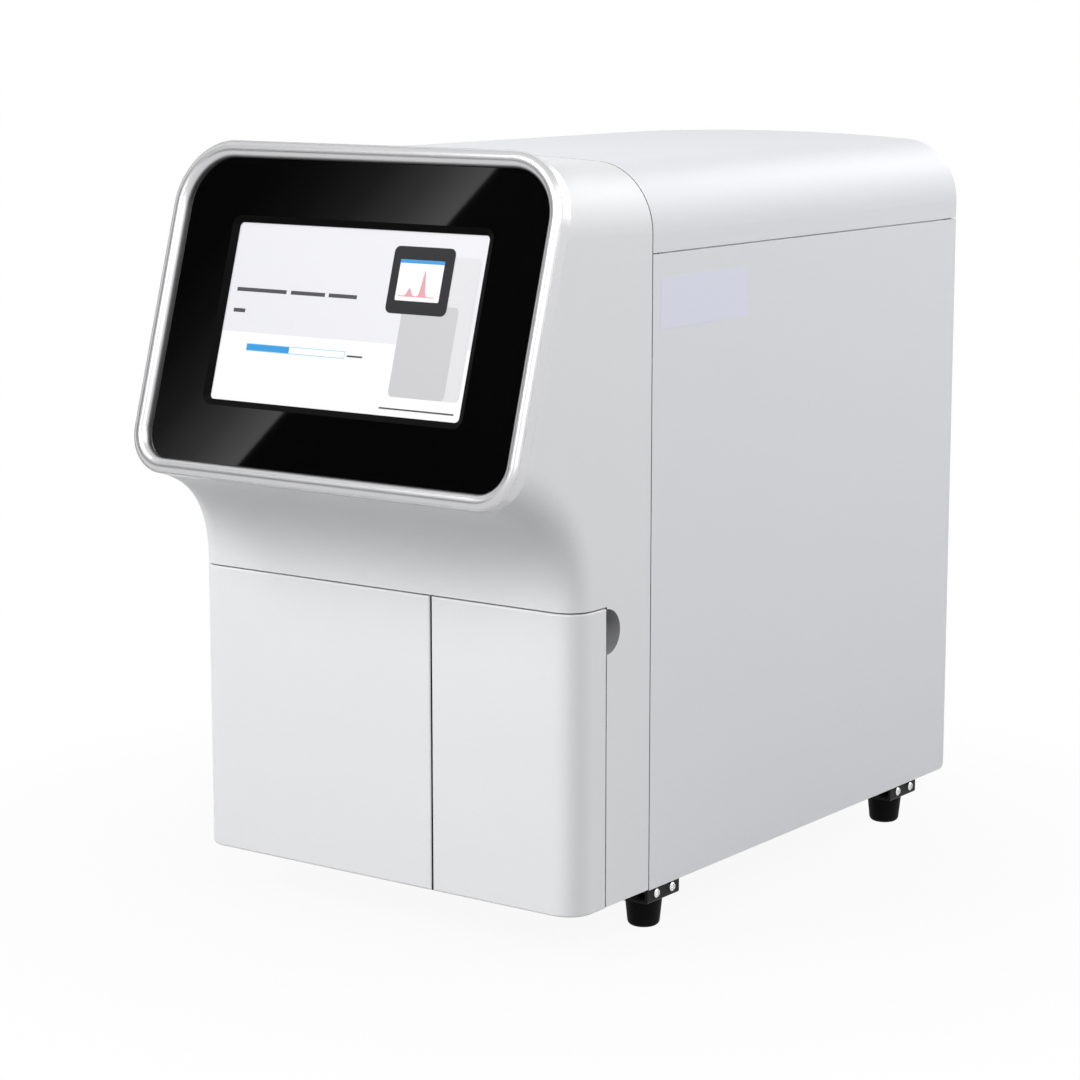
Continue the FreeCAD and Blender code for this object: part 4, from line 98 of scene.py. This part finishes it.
# Colours of the screen picture, and how much each one glows
SCREEN_WHITE = (0.98, 0.98, 0.985)
SCREEN_GLOW = 0.55
PICTURE_COLOURS = {
    "lavender": ((0.83, 0.83, 0.87), SCREEN_GLOW),
    "blue": ((0.008, 0.33, 0.76), SCREEN_GLOW),
    "outline": ((0.22, 0.62, 0.90), SCREEN_GLOW),
    "white": (SCREEN_WHITE, SCREEN_GLOW),
    "ink": ((0.02, 0.02, 0.025), 0.2),
    "pink": ((0.85, 0.35, 0.42), SCREEN_GLOW),
    "grey": ((0.60, 0.60, 0.62), SCREEN_GLOW),
    "pale": ((0.76, 0.76, 0.78), SCREEN_GLOW),
    "text": ((0.10, 0.10, 0.11), 0.3),
}

# Fields of the screen picture: name, colour, layer, corner radius, then left, top, width and height
FIELD_ROUND = 0.0002
PICTURE_FIELDS = (
    ("picture_upper", "lavender", 1, FIELD_ROUND, (0, 0, PICTURE_WIDTH, PICTURE_SPLIT * PICTURE_HEIGHT)),
    ("bar_outline", "outline", 1, FIELD_ROUND, (0.0220, 0.0753, 0.0782, 0.0046)),
    ("bar_track", "white", 2, FIELD_ROUND, (0.0224, 0.0757, 0.0774, 0.0038)),
    ("bar_fill", "blue", 3, FIELD_ROUND, (0.0224, 0.0757, 0.0340, 0.0038)),
    ("stand_side", "pale", 2, 0.003, (0.1640, 0.0140, 0.0270, 0.0860)),
    ("stand_front", "grey", 3, 0.003, (0.1380, 0.0440, 0.0420, 0.0560)),
    ("card_frame", "ink", 4, 0.004, (0.1250, 0.0090, 0.0460, 0.0410)),
    ("card_face", "white", 5, 0.001, (0.1310, 0.0170, 0.0330, 0.0250)),
    ("card_head", "blue", 6, FIELD_ROUND, (0.1310, 0.0170, 0.0330, 0.0022)),
)

# Plain strips in place of words: left, top, width and height
TEXT_LAYER = 2
TEXT_STRIPS = (
    (0.0065, 0.0408, 0.0400, 0.0024),
    (0.0500, 0.0408, 0.0270, 0.0024),
    (0.0800, 0.0408, 0.0220, 0.0024),
    (0.0065, 0.0540, 0.0095, 0.0024),
    (0.1020, 0.0775, 0.0120, 0.0011),
    (0.1330, 0.1067, 0.0560, 0.0010),
)

# Chart on the card: its place and size, its base line, and each peak's place, spread and height
CHART_LEFT = 0.1330
CHART_BASE = 0.0395
CHART_WIDTH = 0.0270
CHART_HEIGHT = 0.0170
CHART_LINE = 0.0006
CHART_LAYER = 6
CHART_STEPS = 40
CHART_PEAKS = ((0.30, 0.07, 0.28), (0.66, 0.06, 0.95))

# Bare plate on the side panel: from the panel's front edge, and above the floor
LABEL_Y = (0.0088, 0.1068)
LABEL_Z = (0.380, 0.4115)
LABEL_THICKNESS = 0.00015
LABEL_ROUND = 0.0012

# Faces are chosen by how near they lie to a joint's plane and how squarely they face a way
SEAM_NEAR = 0.0003
SQUARE_ON = 0.9
GLASS_FLAT = 0.985

# Finger scoop: depth into the side, length and height
SCOOP_SIZE = (0.0125, 0.0150, 0.0300)

# Floor: half its size, its colour under lamps, and how far the shadow is kept from its middle
FLOOR_HALF = 30.0
FLOOR_COLOUR = (0.42, 0.42, 0.42)
SHADOW_KEEP = 0.93
SHADOW_NEAR = 0.12
SHADOW_FAR = 0.60

# World: the fill light, and the backdrop that the camera and reflections see
FILL_COLOUR = (0.95, 0.97, 1.0, 1.0)
FILL_LEVEL = 0.10
BACKDROP_COLOUR = (1.0, 1.0, 1.0, 1.0)
BACKDROP_LEVEL = 1.0

# Lamps: name, azimuth, elevation, distance, width and height, watts
LAMP_AIM = Vector((0, 0, 0.25))
LAMPS = (
    ("front_lamp", -27, 33, 3.0, (1.6, 1.6), 77),
    ("corner_lamp", 40, 33, 3.0, (1.6, 1.6), 22),
    ("shoulder_lamp", 75, 40, 2.8, (1.2, 1.8), 13),
    ("gloss_lamp", 165, 33, 3.0, (1.4, 1.4), 34),
    ("side_lamp", 130, 28, 2.8, (1.2, 1.8), 36),
    ("rear_lamp", -135, 6, 3.0, (1.6, 1.6), 18),
)

# Reflection card: its bright edge crosses the glass between two places
EDGE_TOP = (0.0955, 0.0965)
EDGE_BOTTOM = (-0.0628, -0.0956)
CARD_DISTANCE = 2.6
CARD_HALF_LENGTH = 1.3
CARD_BRIGHT_WIDTH = 0.235
CARD_DARK_WIDTH = 1.3
CARD_GLOW = 1.45
# How the glow fades across the card: place and level
CARD_FADE = ((0.0, 0.0), (0.008, 1.0), (0.25, 0.42), (0.5, 0.13), (0.75, 0.03), (1.0, 0.0))


# Materials
def shader_of(material):
    return material.node_tree.nodes["Principled BSDF"]


def add_node(tree, kind, **values):
    """A new node, with the values of its named sockets."""
    node = tree.nodes.new(kind)
    for socket, value in values.items():
        node.inputs[socket.replace("_", " ")].default_value = value
    return node


def surface(name, colour, roughness, metallic=0.0, specular=0.5):
    material = bpy.data.materials.new(name)
    material.use_nodes = True
    shader = shader_of(material)
    shader.inputs["Base Color"].default_value = (*colour, 1.0)
    shader.inputs["Roughness"].default_value = roughness
    shader.inputs["Metallic"].default_value = metallic
    shader.inputs["Specular IOR Level"].default_value = specular
    return material


def add_grain(material, scale, strength):
    """A fine bump, as on textured mouldings and powder coat."""
    tree = material.node_tree
    noise = add_node(tree, "ShaderNodeTexNoise", Scale=scale, Detail=GRAIN_DETAIL)
    bump = add_node(tree, "ShaderNodeBump", Strength=strength, Distance=GRAIN_DEPTH)
    where = add_node(tree, "ShaderNodeTexCoord")
    tree.links.new(where.outputs["Object"], noise.inputs["Vector"])
    tree.links.new(noise.outputs["Fac"], bump.inputs["Height"])
    tree.links.new(bump.outputs["Normal"], shader_of(material).inputs["Normal"])


def lit(name, colour, level):
    """A field of the screen picture: a little glow over a pale gloss."""
    material = surface(name, tuple(PICTURE_BASE * c for c in colour), PICTURE_ROUGHNESS)
    shader = shader_of(material)
    shader.inputs["Emission Color"].default_value = (*colour, 1.0)
    shader.inputs["Emission Strength"].default_value = level
    return material


def slot_materials():
    materials = {name: surface(name, *look) for name, look in SLOT_SURFACES.items()}
    for name, grain in SLOT_GRAIN.items():
        add_grain(materials[name], *grain)
    shader_of(materials["clear_glass"]).inputs["Alpha"].default_value = GLASS_ALPHA
    materials["display_panel"] = lit("display_panel", SCREEN_WHITE, SCREEN_GLOW)
    return materials


def dress_nodes(materials):
    for part in frame["record"]["subparts"]:
        node = frame["nodes"][part["node"]]
        node.data.materials.clear()
        node.data.materials.append(materials[part["material_slot"]])


# Places on the tilted screen
def screen_axes():
    right = Vector((1, 0, 0))
    up = Vector((0, math.sin(SCREEN_TILT), math.cos(SCREEN_TILT)))
    return right, up, right.cross(up)


def node_points(node):
    return [v.co for v in frame["nodes"][node].data.vertices]


def lcd_face_centre():
    """The middle of the screen's front face, from the low front edge of its node."""
    low_front = min(node_points("lcd_touchscreen"), key=lambda p: p.y)
    half = PICTURE_HEIGHT / 2 + LCD_BORDER - LCD_EDGE_TRIM
    return Vector((0, low_front.y, low_front.z)) + screen_axes()[1] * half


def on_screen(centre, right_way, up_way, out=0.0):
    right, up, normal = screen_axes()
    return centre + right * right_way + up * up_way + normal * out


# Pieces that the scene adds
def new_piece(name, points, faces, material, body="cabinet"):
    mesh = bpy.data.meshes.new(name)
    mesh.from_pydata([tuple(p) for p in points], [], faces)
    mesh.materials.append(material)
    piece = bpy.data.objects.new(name, mesh)
    bpy.context.scene.collection.objects.link(piece)
    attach(piece, body)


def rounded_outline(x0, x1, y0, y1, radius, steps=5):
    corners = [(x1 - radius, y1 - radius, 0), (x0 + radius, y1 - radius, 90),
               (x0 + radius, y0 + radius, 180), (x1 - radius, y0 + radius, 270)]
    points = []
    for cx, cy, start in corners:
        for i in range(steps + 1):
            angle = math.radians(start + 90 * i / steps)
            points.append((cx + radius * math.cos(angle), cy + radius * math.sin(angle)))
    return points


def picture_field(name, centre, material, layer, radius, place):
    """A flat field of the screen picture, placed from the picture's top left corner."""
    left, top, width, height = place
    x0 = left - PICTURE_WIDTH / 2
    y1 = PICTURE_HEIGHT / 2 - top
    outline = rounded_outline(x0, x0 + width, y1 - height, y1, radius)
    points = [on_screen(centre, x, y, layer * PICTURE_LIFT) for x, y in outline]
    new_piece(name, points, [tuple(range(len(points)))], material)


def chart_curve(centre, material):
    """Two smooth peaks on a base line, as a filled shape."""
    x0 = CHART_LEFT - PICTURE_WIDTH / 2
    y0 = PICTURE_HEIGHT / 2 - CHART_BASE
    out = CHART_LAYER * PICTURE_LIFT
    top, low = [], []
    for i in range(CHART_STEPS + 1):
        t = i / CHART_STEPS
        level = sum(high * math.exp(-((t - at) / spread) ** 2) for at, spread, high in CHART_PEAKS)
        x = x0 + t * CHART_WIDTH
        top.append(on_screen(centre, x, y0 + CHART_LINE + CHART_HEIGHT * level, out))
        low.append(on_screen(centre, x, y0, out))
    count = len(top)
    faces = [(i, i + 1, count + i + 1, count + i) for i in range(count - 1)]
    new_piece("chart_curve", low + top, faces, material)


def screen_picture():
    """Pale upper field, white lower field, a progress bar, and a stand with a small chart card."""
    centre = lcd_face_centre()
    colours = {name: lit("picture_" + name, *look) for name, look in PICTURE_COLOURS.items()}
    for name, colour, layer, radius, place in PICTURE_FIELDS:
        picture_field(name, centre, colours[colour], layer, radius, place)
    chart_curve(centre, colours["pink"])
    for number, place in enumerate(TEXT_STRIPS, 1):
        picture_field("text_strip_%d" % number, centre, colours["text"], TEXT_LAYER, FIELD_ROUND, place)


def side_front_y():
    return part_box("side_panel_right")[0].y


def side_label():
    """The bare plate on the side panel."""
    front_y = side_front_y()
    face_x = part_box("side_panel_right")[1].x
    outline = rounded_outline(LABEL_Y[0] + front_y, LABEL_Y[1] + front_y, *LABEL_Z, LABEL_ROUND)
    front = [Vector((face_x + LABEL_THICKNESS, y, z)) for y, z in outline]
    back = [Vector((face_x, y, z)) for y, z in outline]
    count = len(outline)
    rim = [(i, (i + 1) % count, count + (i + 1) % count, count + i) for i in range(count)]
    face = tuple(range(count, 2 * count))
    paper = surface("label_paper", (0.745, 0.765, 0.875), 0.35)
    new_piece("side_label", back + front, rim + [face], paper)


# Second materials on chosen faces of the nodes
def paint_faces(node, material, chosen):
    """Give the node's chosen faces a second material."""
    mesh = frame["nodes"][node].data
    mesh.materials.append(material)
    for face in mesh.polygons:
        if chosen(face.center, face.normal):
            face.material_index = len(mesh.materials) - 1


def near(a, b):
    return abs(a - b) < SEAM_NEAR


def paint_seam_shade():
    """Painted shade: the faces inside the joints get a near-black colour, which stands in for the shade
    in the deep gaps.
    """
    # Painted shade: near-black colour in place of the shade that falls inside the gaps.
    seam = surface("seam_painted_shade", (0.004, 0.004, 0.004), 0.7, specular=0.05)
    panel_y = side_front_y()
    rear_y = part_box("front_housing")[1].y
    gap = panel_y - rear_y
    door_low, door_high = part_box("right_door")
    split = (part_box("left_door")[1].x, door_low.x)

    def housing_joint(centre, normal):
        rear = normal.y > SQUARE_ON and near(centre.y, rear_y)
        wing = normal.y < -SQUARE_ON and near(centre.y, door_high.y + gap)
        ledge = normal.z < -SQUARE_ON and near(centre.z, door_high.z + gap)
        return rear or wing or ledge

    def panel_joint(centre, normal):
        return normal.y < -SQUARE_ON and near(centre.y, panel_y)

    def door_joint(centre, normal):
        back = normal.y > SQUARE_ON and near(centre.y, door_high.y)
        middle = abs(normal.x) > SQUARE_ON and any(near(centre.x, x) for x in split)
        return back or middle

    paint_faces("front_housing", seam, housing_joint)
    for node in ("side_panel_left", "side_panel_right", "top_cover"):
        paint_faces(node, seam, panel_joint)
    for node in ("left_door", "right_door"):
        paint_faces(node, seam, door_joint)


def shade_scoops():
    """The finger scoops lie in their own shade."""
    shade = surface("scoop_shade", (0.40, 0.40, 0.41), 0.5, specular=0.2)
    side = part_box("front_housing")[1].x
    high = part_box("right_door")[1]
    depth, length, height = SCOOP_SIZE

    def in_scoop(centre, normal):
        inside = side - depth < abs(centre.x) < side - SEAM_NEAR
        behind_door = high.y < centre.y < high.y + length
        return inside and behind_door and high.z - height < centre.z < high.z - SEAM_NEAR

    paint_faces("front_housing", shade, in_scoop)


def blacken_window():
    """The bevel round the screen's window is matt, and the glass beside it is gloss."""
    matt = surface("window_black", (0.0008, 0.0008, 0.0008), 0.5, specular=0.04)
    out = screen_axes()[2]
    paint_faces("screen_fascia", matt, lambda centre, normal: normal.dot(out) < GLASS_FLAT)


# Stage: camera, floor, world, lamps and the reflection card
def direction(azimuth, elevation):
    a, e = math.radians(azimuth), math.radians(elevation)
    return Vector((math.sin(a) * math.cos(e), -math.cos(a) * math.cos(e), math.sin(e)))


def look_from(item, aim, back, distance):
    """Stand a camera or lamp away from what it aims at, and turn it there."""
    item.location = aim + back * distance
    item.rotation_mode = "QUATERNION"
    item.rotation_quaternion = (-back).to_track_quat("-Z", "Y")
    bpy.context.scene.collection.objects.link(item)


def make_camera():
    data = bpy.data.cameras.new("camera")
    data.lens = CAMERA_LENS
    data.sensor_width = CAMERA_SENSOR
    camera = bpy.data.objects.new("camera", data)
    look_from(camera, CAMERA_TARGET, direction(CAMERA_AZIMUTH, CAMERA_ELEVATION), CAMERA_DISTANCE)
    bpy.context.scene.camera = camera
    return camera


def stage_sheet(name, x0, x1, half, material):
    """A flat sheet of the stage, from x0 to x1 and from -half to half."""
    mesh = bpy.data.meshes.new(name)
    mesh.from_pydata([(x0, -half, 0), (x1, -half, 0), (x1, half, 0), (x0, half, 0)], [], [(0, 1, 2, 3)])
    mesh.materials.append(material)
    sheet = bpy.data.objects.new(name, mesh)
    bpy.context.scene.collection.objects.link(sheet)
    return sheet


def make_floor():
    """A pale floor that is plain white to the camera and keeps a faint shadow."""
    stage_sheet("floor", -FLOOR_HALF, FLOOR_HALF, FLOOR_HALF, floor_material())


def floor_material():
    """White to the camera and in reflections, less so near the middle, where it takes the shadow."""
    material = surface("floor_white", FLOOR_COLOUR, 0.9, specular=0.0)
    tree = material.node_tree
    glow = add_node(tree, "ShaderNodeEmission")
    where = add_node(tree, "ShaderNodeTexCoord")
    reach = add_node(tree, "ShaderNodeVectorMath")
    reach.operation = "LENGTH"
    spread = add_node(tree, "ShaderNodeMapRange", From_Min=SHADOW_NEAR, From_Max=SHADOW_FAR,
                      To_Min=SHADOW_KEEP, To_Max=1.0)
    spread.interpolation_type = "SMOOTHSTEP"
    amount = add_node(tree, "ShaderNodeMath")
    amount.operation = "MULTIPLY"
    mix = add_node(tree, "ShaderNodeMixShader")
    tree.links.new(where.outputs["Object"], reach.inputs[0])
    tree.links.new(reach.outputs["Value"], spread.inputs["Value"])
    tree.links.new(spread.outputs["Result"], amount.inputs[0])
    tree.links.new(seen_ray(tree), amount.inputs[1])
    tree.links.new(amount.outputs[0], mix.inputs[0])
    tree.links.new(shader_of(material).outputs[0], mix.inputs[1])
    tree.links.new(glow.outputs[0], mix.inputs[2])
    tree.links.new(mix.outputs[0], tree.nodes["Material Output"].inputs["Surface"])
    return material


def seen_ray(tree):
    """One for rays from the camera, and for those by way of gloss or glass."""
    path = add_node(tree, "ShaderNodeLightPath")
    seen = path.outputs["Is Camera Ray"]
    for kind in ("Is Glossy Ray", "Is Transmission Ray"):
        either = add_node(tree, "ShaderNodeMath")
        either.operation = "MAXIMUM"
        tree.links.new(seen, either.inputs[0])
        tree.links.new(path.outputs[kind], either.inputs[1])
        seen = either.outputs[0]
    return seen


def make_world():
    """A soft grey fill, seen as plain white by the camera and in reflections."""
    world = bpy.data.worlds.new("studio")
    bpy.context.scene.world = world
    world.use_nodes = True
    tree = world.node_tree
    fill = tree.nodes["Background"]
    fill.inputs["Color"].default_value = FILL_COLOUR
    fill.inputs["Strength"].default_value = FILL_LEVEL
    backdrop = add_node(tree, "ShaderNodeBackground", Color=BACKDROP_COLOUR, Strength=BACKDROP_LEVEL)
    mix = add_node(tree, "ShaderNodeMixShader")
    tree.links.new(seen_ray(tree), mix.inputs[0])
    tree.links.new(fill.outputs[0], mix.inputs[1])
    tree.links.new(backdrop.outputs[0], mix.inputs[2])
    tree.links.new(mix.outputs[0], tree.nodes["World Output"].inputs["Surface"])


def softbox(name, azimuth, elevation, distance, size, watts):
    data = bpy.data.lights.new(name, "AREA")
    data.shape = "RECTANGLE"
    data.size, data.size_y = size
    data.energy = watts
    lamp = bpy.data.objects.new(name, data)
    look_from(lamp, LAMP_AIM, direction(azimuth, elevation), distance)
    return lamp


def make_lamps():
    """One lamp only adds gloss along the shoulder, and the rear one only adds plain light."""
    lamps = {lamp[0]: softbox(*lamp) for lamp in LAMPS}
    lamps["gloss_lamp"].visible_diffuse = False
    lamps["rear_lamp"].visible_glossy = False


def glass_centre():
    """The middle of the black glass face."""
    normal = screen_axes()[2]
    high = max(node_points("screen_fascia"), key=lambda p: p.dot(normal))
    low_corner, high_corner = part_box("screen_fascia")
    middle = (low_corner + high_corner) / 2
    return middle + normal * normal.dot(high - middle)


def reflection_card(camera):
    """A dark card with one bright edge, which the glass shows as a slanting glow."""
    right, _, normal = screen_axes()
    centre = glass_centre()
    eye = camera.location - normal * (2 * normal.dot(camera.location - centre))
    top, bottom = [on_screen(centre, *place) for place in (EDGE_TOP, EDGE_BOTTOM)]
    outward = ((top + bottom) / 2 - eye).normalized()
    middle = centre + outward * CARD_DISTANCE
    ends = []
    for point in (top, bottom):
        ray = (point - eye).normalized()
        reach = (middle - eye).dot(outward) / ray.dot(outward)
        ends.append(eye + ray * reach)
    along = (ends[0] - ends[1]).normalized()
    across = along.cross(outward).normalized()
    if across.dot(right) > 0:
        across = -across
    place = Matrix((across, along, across.cross(along))).transposed().to_4x4()
    place.translation = (ends[0] + ends[1]) / 2
    card = stage_sheet("reflection_card", -CARD_DARK_WIDTH, CARD_BRIGHT_WIDTH + CARD_DARK_WIDTH,
                       CARD_HALF_LENGTH, card_material())
    card.matrix_world = place
    card.visible_camera = False
    card.visible_diffuse = False
    card.visible_shadow = False
    card.visible_transmission = False


def card_material():
    """Glow that starts at the card's edge line and fades away across it."""
    material = bpy.data.materials.new("card_glow")
    material.use_nodes = True
    tree = material.node_tree
    tree.nodes.remove(shader_of(material))
    where = add_node(tree, "ShaderNodeTexCoord")
    split = add_node(tree, "ShaderNodeSeparateXYZ")
    spread = add_node(tree, "ShaderNodeMapRange", From_Min=0.0, From_Max=CARD_BRIGHT_WIDTH)
    ramp = add_node(tree, "ShaderNodeValToRGB")
    while len(ramp.color_ramp.elements) < len(CARD_FADE):
        ramp.color_ramp.elements.new(1.0)
    for element, (at, level) in zip(ramp.color_ramp.elements, CARD_FADE):
        element.position = at
        element.color = (level, level, level, 1.0)
    glow = add_node(tree, "ShaderNodeEmission", Strength=CARD_GLOW)
    tree.links.new(where.outputs["Object"], split.inputs[0])
    tree.links.new(split.outputs["X"], spread.inputs["Value"])
    tree.links.new(spread.outputs["Result"], ramp.inputs[0])
    tree.links.new(ramp.outputs["Color"], glow.inputs["Color"])
    tree.links.new(glow.outputs[0], tree.nodes["Material Output"].inputs["Surface"])
    return material


bpy.context.scene.view_settings.view_transform = "Standard"
dress_nodes(slot_materials())
screen_picture()
side_label()
paint_seam_shade()
shade_scoops()
blacken_window()
make_floor()
make_world()
make_lamps()
reflection_card(make_camera())
